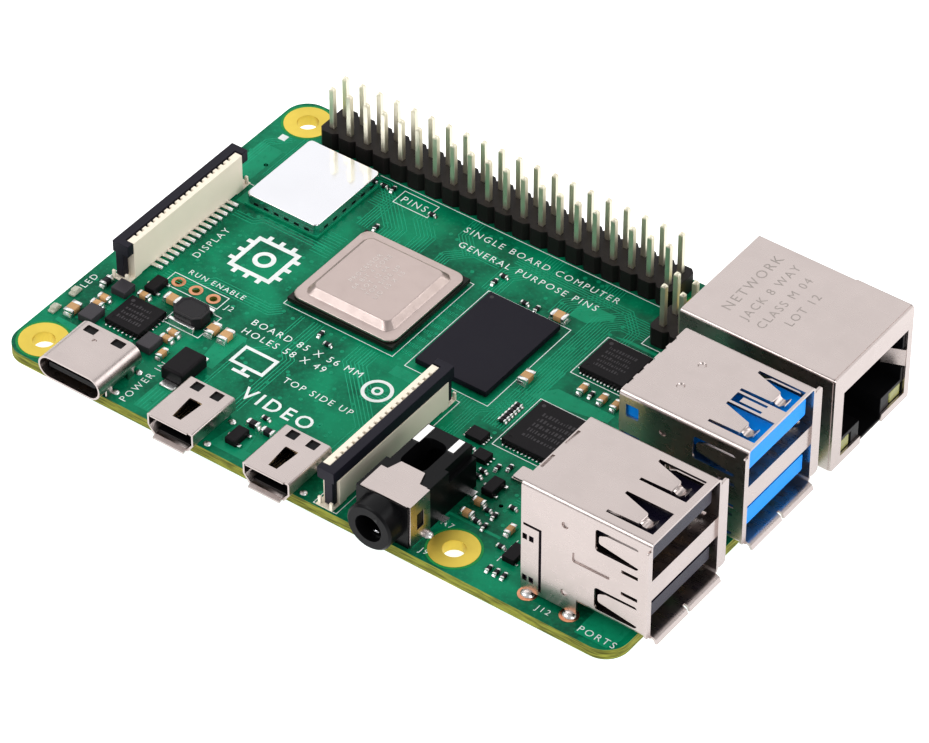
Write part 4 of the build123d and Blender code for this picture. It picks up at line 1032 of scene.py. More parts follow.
    def is_clear(self, x: float, y: float, box: tuple[float, float, float, float]) -> bool:
        """Whether a via at a place would stand clear of a part.

        Args:
            x: the via's place.
            y: the via's place.
            box: the part's low X and Y and high X and Y.

        Returns:
            True if the via is outside the part and its gap.
        """
        inside_x = box[0] - self.via_gap < x < box[2] + self.via_gap
        inside_y = box[1] - self.via_gap < y < box[3] + self.via_gap
        return not (inside_x and inside_y)

    def add_vias(self) -> None:
        """Scatter small plated rings over the free parts of the board."""
        taken = [layout.of(node) for node in self.crowded]
        corner = layout.low
        for low, high in islands("plated_pads"):
            near = ((low.x - corner.x) / MM, (low.y - corner.y) / MM)
            taken.append((*near, (high.x - corner.x) / MM, (high.y - corner.y) / MM))
        chance = random.Random(7)
        low, high = layout.of("circuit_board")[:2], layout.of("circuit_board")[2:]
        places = []
        while len(places) < self.via_count:
            x = chance.uniform(low[0] + self.via_edge[0], high[0] - self.via_edge[0])
            y = chance.uniform(low[1] + self.via_edge[1], high[1] - self.via_edge[1])
            x = round(x / self.via_grid) * self.via_grid
            y = round(y / self.via_grid) * self.via_grid
            if all(self.is_clear(x, y, box) for box in taken):
                places.append(Matrix.Translation(layout.at(x, y)))
        ring = disc("via", Vector(), self.via_radius * MM, self.via_rise * MM, 10)
        with editing(ring):
            pick(ring, faces_up)
            bpy.ops.mesh.inset(thickness=(self.via_radius - self.via_hole) * MM, depth=0)
            bpy.ops.mesh.inset(thickness=0.01 * MM, depth=-self.via_sink * MM)
        rings = settle(repeat("via_rings", ring, places), Finish.COPPER)
        self.copy_below(rings, "via_rings_below")

    def build(self) -> None:
        """Make everything under the mask."""
        self.lay_tracks()
        self.pour_copper()
        self.add_vias()


def flat_outline(name: str, outline: Sequence[Point], thick: float, up: float = 0.0) -> bpy.types.Object:
    """A thin plate with a given outline, standing on the board.

    Args:
        name: the object's name.
        outline: its corners in order.
        thick: the plate's thickness in millimetres.
        up: height of its foot above the board.

    Returns:
        The plate as a mesh.
    """
    curve = bpy.data.curves.new(name, "CURVE")
    curve.dimensions = "2D"
    curve.fill_mode = "BOTH"
    curve.extrude = thick / 2 * MM
    spline = curve.splines.new("POLY")
    spline.points.add(len(outline) - 1)
    for corner, (x, y) in zip(spline.points, outline):
        corner.co = (x * MM, y * MM, 0, 1)
    spline.use_cyclic_u = True
    plate = bpy.data.objects.new(name, curve)
    bpy.context.scene.collection.objects.link(plate)
    select_only(plate)
    bpy.ops.object.convert(target="MESH")
    plate = bpy.context.object
    plate.location = layout.at(0, 0, up + thick / 2)
    bpy.ops.object.transform_apply(location=True, rotation=True, scale=True)
    return plate


@dataclass
class Silkscreen:
    """White ink: outlines, generic labels and plain icons."""

    thick: float = 0.025
    line: float = 0.12
    capital: float = 0.7
    pin_label_box: tuple[float, float, float, float] = (20.6, 46.7, 25.6, 49.1)
    test_hole_box: tuple[float, float, float, float] = (8.1, 19.3, 16.0, 21.6)
    chip_place: Point = (15.0, 29.4)
    screen_place: Point = (25.0, 14.4)
    ring_place: Point = (39.3, 19.0)
    labels: tuple[tuple[str, float, float, float, int], ...] = (
        ("SINGLE BOARD COMPUTER", 30.4, 47.2, 1.0, 0),
        ("GENERAL PURPOSE PINS", 31.4, 44.7, 1.0, 0),
        ("PINS", 21.1, 47.3, 1.05, 0),
        ("DISPLAY", 8.6, 25.0, 0.95, 90),
        ("POWER IN", 17.6, 0.7, 0.95, 90),
        ("LED", 1.5, 13.2, 0.9, 90),
        ("RUN", 9.3, 22.3, 0.8, 0),
        ("ENABLE", 12.6, 22.3, 0.8, 0),
        ("J2", 16.6, 19.9, 0.8, 0),
        ("BOARD 85 X 56 MM", 20.6, 19.6, 1.0, 0),
        ("HOLES 58 X 49", 20.6, 17.8, 1.0, 0),
        ("TOP SIDE UP", 29.6, 13.9, 0.95, 0),
        ("VIDEO", 27.2, 9.1, 1.95, 0),
        ("PORTS", 79.4, 1.1, 0.95, 0),
        ("J12", 74.0, 1.1, 0.8, 0),
        ("A7", 57.9, 5.8, 0.8, 0),
        ("J9", 58.6, 0.9, 0.8, 0),
    )

    def write(
        self, text: str, x: float, y: float, size: float, turn: int, up: float = 0.0
    ) -> bpy.types.Object:
        """Write one label.

        Args:
            text: its letters.
            x: left end of its foot.
            y: its foot.
            size: height of its capitals.
            turn: degrees that it is turned.
            up: height of its foot above the board.

        Returns:
            The label as a mesh.
        """
        bpy.ops.object.select_all(action="DESELECT")
        bpy.ops.object.text_add(location=(0, 0, 0))
        label = bpy.context.object
        label.name = "label"
        label.data.body = text
        label.data.size = size * MM / self.capital
        label.data.space_character = 1.3
        label.data.offset = (0.02 if size > 1.5 else -0.004) * size * MM
        label.data.extrude = self.thick / 2 * MM
        label.data.resolution_u = 3
        bpy.ops.object.convert(target="MESH")
        label = bpy.context.object
        label.rotation_euler.z = math.radians(turn)
        label.location = layout.at(x, y, up + self.thick / 2)
        bpy.ops.object.transform_apply(location=True, rotation=True, scale=True)
        return label

    def frame_around(
        self, x0: float, y0: float, x1: float, y1: float, lines: int = 4
    ) -> list[bpy.types.Object]:
        """Draw thin lines around a rectangle.

        Args:
            x0: its low X.
            y0: its low Y.
            x1: its high X.
            y1: its high Y.
            lines: four, or three to leave its right side open.

        Returns:
            The lines.
        """
        half = self.line / 2
        sides = (
            (x0 - half, y0 - half, x1 + half, y0 + half),
            (x0 - half, y1 - half, x1 + half, y1 + half),
            (x0 - half, y0 + half, x0 + half, y1 - half),
            (x1 - half, y0 + half, x1 + half, y1 - half),
        )
        return [self.bar(*side) for side in sides[:lines]]

    def bar(self, x0: float, y0: float, x1: float, y1: float) -> bpy.types.Object:
        """A filled rectangle of ink."""
        return block("ink", layout.at(x0, y0), layout.at(x1, y1, self.thick))

    def ring(self, x: float, y: float, radius: float, line: float) -> bpy.types.Object:
        """Draw a round line of ink.

        Args:
            x: its centre.
            y: its centre.
            radius: its outer radius.
            line: the width of the line.

        Returns:
            The ring.
        """
        ring = disc("ink", layout.at(x, y), radius * MM, self.thick * MM, 40)
        with editing(ring):
            pick(ring, faces_up_or_down)
            bpy.ops.mesh.inset(thickness=line * MM, depth=0)
            bpy.ops.mesh.bridge_edge_loops()
        return ring

    def chip_icon(self, x: float, y: float, half: float, line: float) -> list[bpy.types.Object]:
        """Draw a plain chip: a thick frame with short legs all round and a round middle.

        Args:
            x: its centre.
            y: its centre.
            half: half the frame's side.
            line: the width of its lines.

        Returns:
            Its strokes.
        """
        thick_pen = Silkscreen(line=line)
        parts = thick_pen.frame_around(x - half, y - half, x + half, y + half)
        for leg in (-1, 0, 1):
            place = leg * half * 0.62
            for side in (-1, 1):
                near, far = sorted((side * (half + line / 2), side * (half + 1.0)))
                parts.append(self.bar(x + place - line / 2, y + near, x + place + line / 2, y + far))
                parts.append(self.bar(x + near, y + place - line / 2, x + far, y + place + line / 2))
        parts.append(self.ring(x, y, half * 0.5, line))
        return parts

    def screen_icon(self, x: float, y: float) -> list[bpy.types.Object]:
        """Draw a plain screen on a foot.

        Args:
            x: its centre.
            y: its centre.

        Returns:
            Its strokes.
        """
        thick_pen = Silkscreen(line=0.45)
        parts = thick_pen.frame_around(x - 2.2, y - 1.0, x + 2.2, y + 1.8)
        parts.append(self.bar(x - 0.25, y - 1.9, x + 0.25, y - 1.2))
        parts.append(self.bar(x - 1.2, y - 2.3, x + 1.2, y - 1.85))
        return parts

    def build(self) -> None:
        """Print the whole top side."""
        around = {
            "processor_substrate": 0.3,
            "memory_package": 0.85,
            "port_controller_chip": 0.75,
            "network_chip": 0.7,
            "power_inductor": 0.5,
        }
        parts = []
        for node, gap in around.items():
            x0, y0, x1, y1 = layout.of(node)
            parts += self.frame_around(x0 - gap, y0 - gap, x1 + gap, y1 + gap)
        for node in ("display_connector_latch", "camera_connector_latch"):
            x0, y0, x1, y1 = layout.of(node)
            parts += self.frame_around(x0 - 0.35, y0 - 0.3, x1 + 0.5, y1 + 0.3, 3 if x0 < 10 else 4)
        x0, y0, x1, y1 = layout.of("gpio_header_base")
        parts.append(self.bar(x0 + 9.4, y0 - 0.3, x1 + 0.2, y0 - 0.3 + self.line))
        x0, y0, x1, y1 = layout.of("power_header_base")
        parts += self.frame_around(x0 - 0.4, y0 - 0.5, x1 + 0.4, y1 + 0.3)
        parts += self.frame_around(*self.pin_label_box)
        parts += self.frame_around(*self.test_hole_box)
        x0, y0, x1, y1 = layout.of("network_jack_shell")
        parts.append(self.bar(x0 - 0.35, y0, x0 - 0.35 + self.line, y1))
        parts.append(self.bar(66.3, 4.7, 66.3 + self.line, 8.7))
        parts += self.chip_icon(*self.chip_place, 2.8, 0.6)
        parts += self.screen_icon(*self.screen_place)
        parts += [self.ring(*self.ring_place, 1.9, 0.45), self.ring(*self.ring_place, 0.7, 0.35)]
        parts.append(self.bar(2.4, 48.0, 3.4, 49.0))
        lines = soften(join("ink_lines", parts), 0.006, 1)
        labels = [self.write(*label) for label in self.labels]
        settle(join("silkscreen", [lines, *labels]), Finish.INK)


@dataclass
class Board:
    """The bare board: mask, plated rings, tracks and ink."""

    tracks: Tracks = field(default_factory=Tracks)
    silkscreen: Silkscreen = field(default_factory=Silkscreen)
    hole_radius: float = 1.35
    ring_radius: float = 2.95
    test_radius: float = 0.87
    test_hole: float = 0.46
    proud: float = 0.03
    test_rise: float = 0.07
    rim_reach: float = 0.3
    rim_line: float = 0.28
    rim_rise: float = 0.02

    def hoop(
        self, name: str, foot: float, radius: float, height: float, line: float
    ) -> bpy.types.Object:
        """Model a flat or tall ring about the Z axis.

        Args:
            name: the ring's name.
            foot: height of its foot in metres.
            radius: its outer radius in millimetres.
            height: its height in metres.
            line: the width of its rim in millimetres.

        Returns:
            The ring.
        """
        ring = disc(name, Vector((0, 0, foot)), radius * MM, height, 24 if radius < 1 else 48)
        with editing(ring):
            pick(ring, faces_up_or_down)
            bpy.ops.mesh.inset(thickness=line * MM, depth=0)
            bpy.ops.mesh.bridge_edge_loops()
        return ring

    def rings(self) -> None:
        """Round the rims of the plated rings, and line each hole with plating."""
        low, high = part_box("circuit_board")
        places, tests = [], []
        for pad in islands("plated_pads"):
            if pad[1].z > high.z:
                centre = middle(pad)
                if pad[1].x - pad[0].x > self.ring_radius * MM:
                    places.append(Matrix.Translation(Vector((centre.x, centre.y, 0))))
                else:
                    tests.append(Matrix.Translation(Vector((centre.x, centre.y, high.z))))
        tall = high.z - low.z + 2 * self.proud * MM
        wall = self.ring_radius - self.hole_radius + 0.02
        lining = soften(self.hoop("lining", low.z - self.proud * MM, self.ring_radius, tall, wall), 0.02)
        wall = self.test_radius - self.test_hole
        ring = soften(self.hoop("ring", 0.0, self.test_radius, self.test_rise * MM, wall), 0.02)
        settle(repeat("test_rings", ring, tests), Finish.COPPER_RING)
        settle(repeat("hole_plating", lining, places), Finish.GOLD)
        radius = self.ring_radius + self.rim_reach
        rim = self.hoop("rim", high.z, radius, self.rim_rise * MM, self.rim_line)
        settle(repeat("mask_rims", rim, places), Finish.HOLLOW)

    def build(self) -> None:
        """Dress the board and add what is on it."""
        dress(Finish.MASK, "circuit_board")
        dress(Finish.GOLD, "plated_pads")
        self.rings()
        self.tracks.build()
        self.silkscreen.build()


# ---------------------------------------------------------------- chips
@dataclass
class Markings:
    """Faint rows of short laser strokes, in place of printed text."""

    thick: float = 0.006

    def rows(
        self, name: str, box: Box, rows: int, share: Point, finish: Finish, slot: str, seed: int
    ) -> None:
        """Lay rows of strokes on a top face.

        Args:
            name: the new piece's name.
            box: the box of the piece that carries them.
            rows: how many rows.
            share: how much of the top's length and width they fill.
            finish: their finish.
            slot: the record's material slot; it is not used.
            seed: fixes the stroke widths.
        """
        chance = random.Random(seed)
        centre = middle(box)
        reach = (box[1] - box[0]) / 2
        width, length = reach.x * share[0], reach.y * share[1]
        step = 2 * length / rows
        strokes = []
        for row in range(rows):
            y = centre.y + length - step * (row + 0.5)
            x = centre.x - width
            while x < centre.x + width * chance.uniform(0.7, 1.0):
                wide = step * chance.uniform(0.12, 0.34)
                tall = step * chance.choice((0.1, 0.3))
                low = Vector((x, y - step * 0.3, box[1].z))
                high = Vector((x + wide, y + tall, box[1].z + self.thick * MM))
                strokes.append(block("stroke", low, high))
                x += wide + step * 0.2
        settle(soften(join(name, strokes), 0.002, 1), finish)


@dataclass
class Processor:
    """Processor package: laminate, and a pressed metal lid with a raised middle."""

    flange_round: float = 1.3
    flange_height: float = 0.45
    first_inset: float = 0.01
    letter: float = 0.62
    raised: float = 12.4
    top: float = 10.9
    engraving: tuple[tuple[str, float, float], ...] = (
        ("PROCESSOR", 5.2, 5.0),
        ("64 BIT 4 CORE", 6.2, 4.2),
        ("LOT 12 04", 7.2, 4.6),
        ("TOP SIDE UP", 8.2, 4.2),
        ("LID 15 X 15", 9.2, 4.2),
    )

    def lid(self) -> None:
        """Press the lid: a rounded flange, a sloping step and a flat top."""
        low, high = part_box("processor_lid")
        flange_top = low.z + self.flange_height * MM
        lid = block("processor_lid_pressed", low, Vector((high.x, high.y, flange_top)))
        round_uprights(lid, self.flange_round, 6)
        size = (high.x - low.x) / MM
        with editing(lid):
            pick(lid, faces_up)
            centre = (low + high) / 2
            bpy.ops.mesh.inset(thickness=self.first_inset * MM, depth=0)
            share = self.raised / size
            bpy.ops.transform.resize(value=(share, share, 1), center_override=centre)
            bpy.ops.mesh.inset(thickness=self.first_inset * MM, depth=0)
            share = self.top / self.raised
            bpy.ops.transform.resize(value=(share, share, 1), center_override=centre)
            bpy.ops.transform.translate(value=(0, 0, high.z - flange_top))
        soften(lid, 0.16, 3, 20)
        settle(lid, Finish.LID, ["processor_lid"])

    def build(self) -> None:
        """Make the package."""
        self.lid()
        x0, y0, _, _ = layout.of("processor_lid")
        top = (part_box("processor_lid")[1].z - layout.high.z) / MM - 0.01
        pen = Silkscreen()
        lines = [
            pen.write(text, x0 + along, y0 + across, self.letter, 90, top)
            for text, along, across in self.engraving
        ]
        settle(join("lid_marks", lines), Finish.FROST)
        round_off(Finish.LAMINATE, "package_laminate", 0.04, "processor_substrate")
        dress(Finish.SOLDER, "solder_balls", "processor_die")


@dataclass
class Chips:
    """Moulded chips, their leads and their laser marks."""

    dot_inset: float = 0.75
    dot_radius: float = 0.26
    dot_rise: float = 0.006
    dot_depth: float = 0.02
    markings: Markings = field(default_factory=Markings)

    def build(self) -> None:
        """Make every chip."""
        large = ("port_controller_chip", "network_chip", "power_manager_chip")
        round_off(Finish.EPOXY, "chip_mould", 0.05, *large)
        round_off(Finish.EPOXY, "chip_mould", 0.05, "logic_chips", "transistor_bodies")
        round_off(Finish.MEMORY, "chip_mould", 0.04, "memory_package")
        round_off(Finish.SOLDER, "solder", 0.04, "chip_leads")
        dress(Finish.EPOXY, "wireless_chip")
        dots = []
        inset, depth = self.dot_inset * MM, self.dot_depth * MM
        for node in (*large, "memory_package"):
            low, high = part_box(node)
            foot = Vector((low.x + inset, high.y - inset, high.z - depth))
            dots.append(disc("dot", foot, self.dot_radius * MM, depth + self.dot_rise * MM, 16))
        settle(soften(join("corner_dots", dots), 0.004, 1), Finish.MARK)
        marks = (
            ("port_chip_marks", 5, 0.62, 3),
            ("network_chip_marks", 5, 0.66, 4),
            ("power_chip_marks", 4, 0.66, 5),
        )
        for node, (name, rows, share, seed) in zip(large, marks):
            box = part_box(node)
            self.markings.rows(name, box, rows, (share, share), Finish.MARK, "chip_mould", seed)


@dataclass
class WirelessModule:
    """Wireless module: a small laminate and its polished can, with a row of slots in each side; each slot
    is a thin black block of painted shade, not an opening.
    """

    slot_shadows: int = 6

    def build(self) -> None:
        """Make the module."""
        round_off(Finish.COPPER, "package_laminate", 0.03, "wireless_base")
        can = soften(copy_node("wireless_shield", "wireless_can"), 0.05)
        settle(can, Finish.CAN, ["wireless_shield"])
        low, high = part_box("wireless_shield")
        # Each slot is painted shade: a thin black block across the can's wall where the dark inside of an
        # opening would show; the wall is not cut.
        slot = block("slot", Vector((-0.35, -0.02, 0.5)) * MM, Vector((0.35, 0.02, 0.85)) * MM)
        places = []
        for number in range(1, self.slot_shadows + 1):
            share = number / (self.slot_shadows + 1)
            for y in (low.y, high.y):
                foot = Vector((low.x + (high.x - low.x) * share, y, layout.high.z))
                places.append(Matrix.Translation(foot))
            for x in (low.x, high.x):
                foot = Vector((x, low.y + (high.y - low.y) * share, layout.high.z))
                places.append(Matrix.Translation(foot) @ Matrix.Rotation(math.pi / 2, 4, "Z"))
        # The repeated black blocks are the painted shade of the slots.
        settle(repeat("can_slot_shadows", soften(slot, 0.01, 1), places), Finish.BLACK)


# ---------------------------------------------------------------- small soldered parts
@dataclass
class ChipParts:
    """Capacitors and resistors: a body between two plated ends, each end in its solder.

    Attributes:
        rounding: width of the rounded edges.
        reach: how far the solder reaches past an end.
        climb: the share of the part's height that it climbs.
    """

    rounding: float = 0.07
    reach: float = 0.22
    climb: float = 0.62

    def wholes(self, bodies: str, ends: str) -> list[tuple[Vector, Vector, float]]:
        """Match each body with its two nearest ends.

        Args:
            bodies: CAD node of the bodies.
            ends: CAD node of their ends.

        Returns:
            The foot's centre, the size and the turn of each part.
        """
        caps = islands(ends)
        found = []
        for body in islands(bodies):
            here = middle(body)
            near = sorted(caps, key=lambda cap: (middle(cap) - here).length)[:2]
            low = Vector(min(cap[0][axis] for cap in near) for axis in range(3))
            high = Vector(max(cap[1][axis] for cap in near) for axis in range(3))
            size = high - low
            apart = middle(near[0]) - middle(near[1])
            along_y = abs(apart.y) > abs(apart.x)
            turn = math.pi / 2 if along_y else 0.0
            if along_y:
                size = Vector((size.y, size.x, size.z))
            foot = Vector(((low.x + high.x) / 2, (low.y + high.y) / 2, low.z))
            found.append((foot, size, turn))
        return found

    def body(self, size: Vector) -> bpy.types.Object:
        """Model the body between the ends, about the origin.

        Args:
            size: the whole part's size.

        Returns:
            The body.
        """
        half = Vector((size.x * 0.28, size.y * 0.48, 0))
        lift = Vector((0, 0, size.z * 0.04))
        top = Vector((half.x, half.y, size.z * 0.96))
        return soften(block("body", -half + lift, top), self.rounding * 0.6)

    def ends(self, size: Vector) -> bpy.types.Object:
        """Model both plated ends with their solder fillets, about the origin.

        Args:
            size: the whole part's size.

        Returns:
            The ends as one object.
        """
        parts = []
        for side in (-1, 1):
            inner, outer = side * size.x * 0.25, side * size.x * 0.5
            low = Vector((min(inner, outer), -size.y / 2, 0))
            high = Vector((max(inner, outer), size.y / 2, size.z))
            parts.append(soften(block("cap", low, high), self.rounding))
            toe = outer + side * self.reach * MM
            low = Vector((min(outer * 0.9, toe), -size.y * 0.52, 0))
            high = Vector((max(outer * 0.9, toe), size.y * 0.52, size.z * self.climb))
            fillet = block("fillet", low, high)
            with editing(fillet):
                pick(fillet, faces_up)
                bpy.ops.transform.translate(value=(-side * self.reach * 0.9 * MM, 0, 0))
                bpy.ops.transform.resize(value=(1, 0.8, 1), center_override=(0, 0, 0))
            parts.append(soften(fillet, self.rounding * 0.8))
        return join("ends", parts)

    def build(self, name: str, bodies: str, ends: str, finish: Finish, slot: str) -> None:
        """Make all parts of one kind.

        Args:
            name: the kind's name.
            bodies: CAD node of the bodies.
            ends: CAD node of their ends.
            finish: the bodies' finish.
            slot: the bodies' material slot; it is not used.
        """
        groups: dict[tuple, list[tuple[Vector, Vector, float]]] = {}
        for foot, size, turn in self.wholes(bodies, ends):
            key = tuple(round(side / MM, 2) for side in size)
            groups.setdefault(key, []).append((foot, size, turn))
        made_bodies, made_ends = [], []
        for number, members in enumerate(groups.values()):
            size = members[0][1]
            places = [
                Matrix.Translation(foot) @ Matrix.Rotation(turn, 4, "Z") for foot, _, turn in members
            ]
            made_bodies.append(repeat(f"{name}_bodies_{number}", self.body(size), places))
            made_ends.append(repeat(f"{name}_ends_{number}", self.ends(size), places))
        settle(join(f"{name}_bodies_soldered", made_bodies), finish, [bodies])
        settle(join(f"{name}_ends_soldered", made_ends), Finish.SOLDER, [ends])


@dataclass
class SolderJoints:
    """Solder on the underside and around the shells' tabs."""

    cone_radius: float = 0.8
    cone_height: float = 0.75
    tab_cone_radius: float = 1.0
    tip_share: float = 0.42
    waist_share: float = 0.78
    tab_steps: Point = (0.55, 6.05)
    tab_reach: float = 6.45
    ring_radius: float = 1.15
    blob_radius: float = 0.72
    tab_shares: Point = (0.35, 0.9)

    def cone(self, radius: float, height: float, sides: int = 12) -> bpy.types.Object:
        """Model a concave cone of solder under the board, about the origin.

        Args:
            radius: its radius at the board, in millimetres.
            height: how far it hangs down.
            sides: faces round it.

        Returns:
            The cone.
        """
        cone = disc("cone", Vector((0, 0, -height * MM)), radius * MM, height * MM, sides)
        with editing(cone):
            pick(cone, faces_down)
            bpy.ops.transform.resize(value=(self.tip_share, self.tip_share, 1), center_override=(0, 0, 0))
            pick(cone, faces_sideways)
            bpy.ops.mesh.subdivide(number_cuts=1)
            bpy.ops.mesh.select_mode(type="VERT")
            shape = bmesh.from_edit_mesh(cone.data)
            for vertex in shape.verts:
                if -height * 0.9 * MM < vertex.co.z < -height * 0.1 * MM:
                    vertex.co.x *= self.waist_share
                    vertex.co.y *= self.waist_share
            bmesh.update_edit_mesh(cone.data)
        select_only(cone)
        bpy.ops.object.shade_smooth_by_angle(angle=math.radians(60))
        return cone

    def under_pins(self) -> None:
        """A cone around every pin and contact tail that comes out below the board."""
        floor = layout.low.z
        places = {"small": [], "large": []}
        nodes = (
            "gpio_header_pins",
            "power_header_pins",
            "dual_port_a_contacts",
            "dual_port_b_contacts",
            "network_jack_contacts",
        )
        for node in nodes:
            kind = "small" if node.startswith("network") else "large"
            for box in islands(node):
                if box[0].z < floor - 0.5 * MM:
                    centre = middle(box)
                    places[kind].append(Matrix.Translation(Vector((centre.x, centre.y, floor))))
        for kind, radius in (("small", 0.5), ("large", self.cone_radius)):
            cones = repeat(f"pin_solder_{kind}", self.cone(radius, self.cone_height), places[kind])
            settle(cones, Finish.SOLDER)

    def around_tabs(self) -> None:
        """A copper ring and a blob of solder where each shell's tab enters the board."""
        tops = []
        for insert in ("dual_port_a_insert", "dual_port_b_insert"):
            low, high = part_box(insert)
            centre_y = (low.y + high.y) / 2
            for step in self.tab_steps:
                for side in (-1, 1):
                    y = centre_y + side * self.tab_reach * MM
                    tops.append(Vector((low.x + step * MM, y, layout.high.z)))
        places = [Matrix.Translation(top) for top in tops]
        thickness = Vector((0, 0, layout.high.z - layout.low.z))
        below = [Matrix.Translation(top - thickness) for top in tops]
        cone = self.cone(self.tab_cone_radius, self.cone_height)
        settle(repeat("tab_solder_below", cone, below), Finish.SOLDER)
        small = []
        for socket in ("power_socket_shell", "video_socket_1_shell", "video_socket_2_shell"):
            low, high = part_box(socket)
            for x in (low.x - 0.1 * MM, high.x + 0.1 * MM):
                for share in self.tab_shares:
                    foot = Vector((x, low.y + (high.y - low.y) * share, layout.high.z))
                    small.append(Matrix.Translation(foot) @ Matrix.Scale(0.6, 4))
        jack_low, jack_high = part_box("audio_jack_body")
        foot = Vector((jack_high.x + 0.3 * MM, jack_low.y + 5.6 * MM, layout.high.z))
        small.append(Matrix.Translation(foot) @ Matrix.Scale(0.9, 4))
        ring = disc("ring", Vector(), self.ring_radius * MM, 0.05 * MM, 24)
        settle(repeat("tab_rings", soften(ring, 0.02), places), Finish.COPPER_RING)
        radius = self.blob_radius * MM
        bpy.ops.mesh.primitive_uv_sphere_add(segments=16, ring_count=8, radius=radius)
        blob = bpy.context.object
        with editing(blob):
            bpy.ops.mesh.bisect(plane_co=(0, 0, 0), plane_no=(0, 0, 1), clear_inner=True, use_fill=True)
            bpy.ops.mesh.select_all(action="SELECT")
            bpy.ops.transform.resize(value=(1.2, 1, 0.62), center_override=(0, 0, 0))
        select_only(blob)
        bpy.ops.object.shade_smooth_by_angle(angle=math.radians(50))
        settle(repeat("tab_solder", blob, places + small), Finish.SOLDER)

    def build(self) -> None:
        """Make every joint."""
        self.under_pins()
        self.around_tabs()


@dataclass
class PowerParts:
    """Inductors, the surge diode and the lamps."""

    coil_corner: float = 0.8
    coil_rim: float = 0.3
    coil_sink: float = 0.1

    def build(self) -> None:
        """Make the larger soldered parts."""
        coil = block("power_inductor_cut", *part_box("power_inductor"))
        round_uprights(coil, self.coil_corner, 1)
        with editing(coil):
            pick(coil, faces_up)
            bpy.ops.mesh.inset(thickness=self.coil_rim * MM, depth=0)
            bpy.ops.mesh.inset(thickness=0.12 * MM, depth=-self.coil_sink * MM)
        settle(soften(coil, 0.12, 3, 20), Finish.FERRITE, ["power_inductor"])
        round_off(Finish.GREY, "ferrite", 0.08, "small_inductors")
        round_off(Finish.EPOXY, "chip_mould", 0.12, "surge_diode")
        round_off(Finish.SOLDER, "solder", 0.09, "power_terminals")
        round_off(Finish.LAMP, "lamp_lens", 0.05, "indicator_lights")
        round_off(Finish.STEEL, "nickel_lid", 0.05, "clock_crystal")


# ---------------------------------------------------------------- connectors
@dataclass
class Headers:
    """Pin headers, whose square pins end in a short taper."""

    taper: float = 0.32
    tip_share: float = 0.6

    def build(self) -> None:
        """Make the bases and the pins."""
        round_off(Finish.HEADER, "header_plastic", 0.06, "gpio_header_base", "power_header_base")
        for node in ("gpio_header_pins", "power_header_pins"):
            self.pins(node)

    def pins(self, node: str) -> None:
        """Make the square pins of one header, with their tips cut to a short taper.

        Args:
            node: CAD node of the pins.
        """
        boxes = islands(node)
        low, high = boxes[0]
        half = (high - low) / 2
        taper = self.taper * MM
        pin = block("pin", Vector((-half.x, -half.y, low.z)), Vector((half.x, half.y, high.z - taper)))
        with editing(pin):
            pick(pin, faces_up)
            bpy.ops.mesh.inset(thickness=0.001 * MM, depth=0)
            bpy.ops.transform.translate(value=(0, 0, taper))
            tip = (self.tip_share, self.tip_share, 1)
            bpy.ops.transform.resize(value=tip, center_override=(0, 0, high.z))
        soften(pin, 0.04)
        places = [Matrix.Translation(Vector((middle(box).x, middle(box).y, 0))) for box in boxes]
        settle(repeat(node + "_cut", pin, places), Finish.PIN, [node])


@dataclass
class RibbonConnector:
    """A flat cable connector: cream housing, dark latch and contacts."""

    kind: str
    foot_extra: float = 0.1
    foot_height: float = 0.42

    def build(self) -> None:
        """Make one connector, with its latch on the latch's own body."""
        name = f"{self.kind}_connector"
        round_off(Finish.CREAM, "cream_plastic", 0.05, f"{name}_housing")
        round_off(Finish.LATCH, "latch_plastic", 0.07, f"{name}_latch", body=f"{self.kind}_latch")
        feet = []
        grow = Vector((0, self.foot_extra * MM, 0))
        for low, high in islands(f"{name}_contacts"):
            top = Vector((high.x, high.y, low.z + self.foot_height * MM))
            feet.append(soften(block("foot", low - grow, top + grow), 0.08))
        settle(join(f"{name}_feet", feet), Finish.SOLDER)
        dress(Finish.SOLDER, f"{name}_contacts")


@dataclass
class EdgeSockets:
    """Power and video sockets and the audio jack."""

    spring_in: float = 1.6
    spring_up: float = 1.25

    def build(self) -> None:
        """Make the sockets on the long edge."""
        round_off(Finish.STEEL, "shell_steel", 0.05, "power_socket_shell")
        round_off(Finish.STEEL, "shell_steel", 0.04, "video_socket_1_shell", "video_socket_2_shell")
        dress(Finish.BLACK, "power_socket_tongue", "video_socket_1_insert", "video_socket_2_insert")
        dress(Finish.CONTACT, "power_socket_contacts", "video_socket_contacts")
        round_off(Finish.BLACK, "black_plastic", 0.1, "audio_jack_body")
        round_off(Finish.STEEL, "shell_steel", 0.04, "audio_jack_shield")
        dress(Finish.SOLDER, "audio_jack_contacts")
        low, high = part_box("audio_jack_body")
        x = (low.x + high.x) / 2
        foot = Vector((x, low.y + self.spring_in * MM, layout.high.z + self.spring_up * MM))
        near = foot - Vector((0.5, 0.3, 0)) * MM
        far = foot + Vector((0.5, 3, 0.5)) * MM
        settle(soften(block("audio_spring", near, far), 0.2, 3), Finish.CAN)


@dataclass
class PortStack:
    """A stacked double port: shell, insulator and contacts."""

    letter: str
    plastic: Finish
    slot: str

    def build(self) -> None:
        """Make one stack."""
        name = f"dual_port_{self.letter}"
        round_off(Finish.STEEL, "shell_steel", 0.04, f"{name}_shell")
        round_off(self.plastic, self.slot, 0.1, f"{name}_insert")
        dress(Finish.CONTACT, f"{name}_contacts")


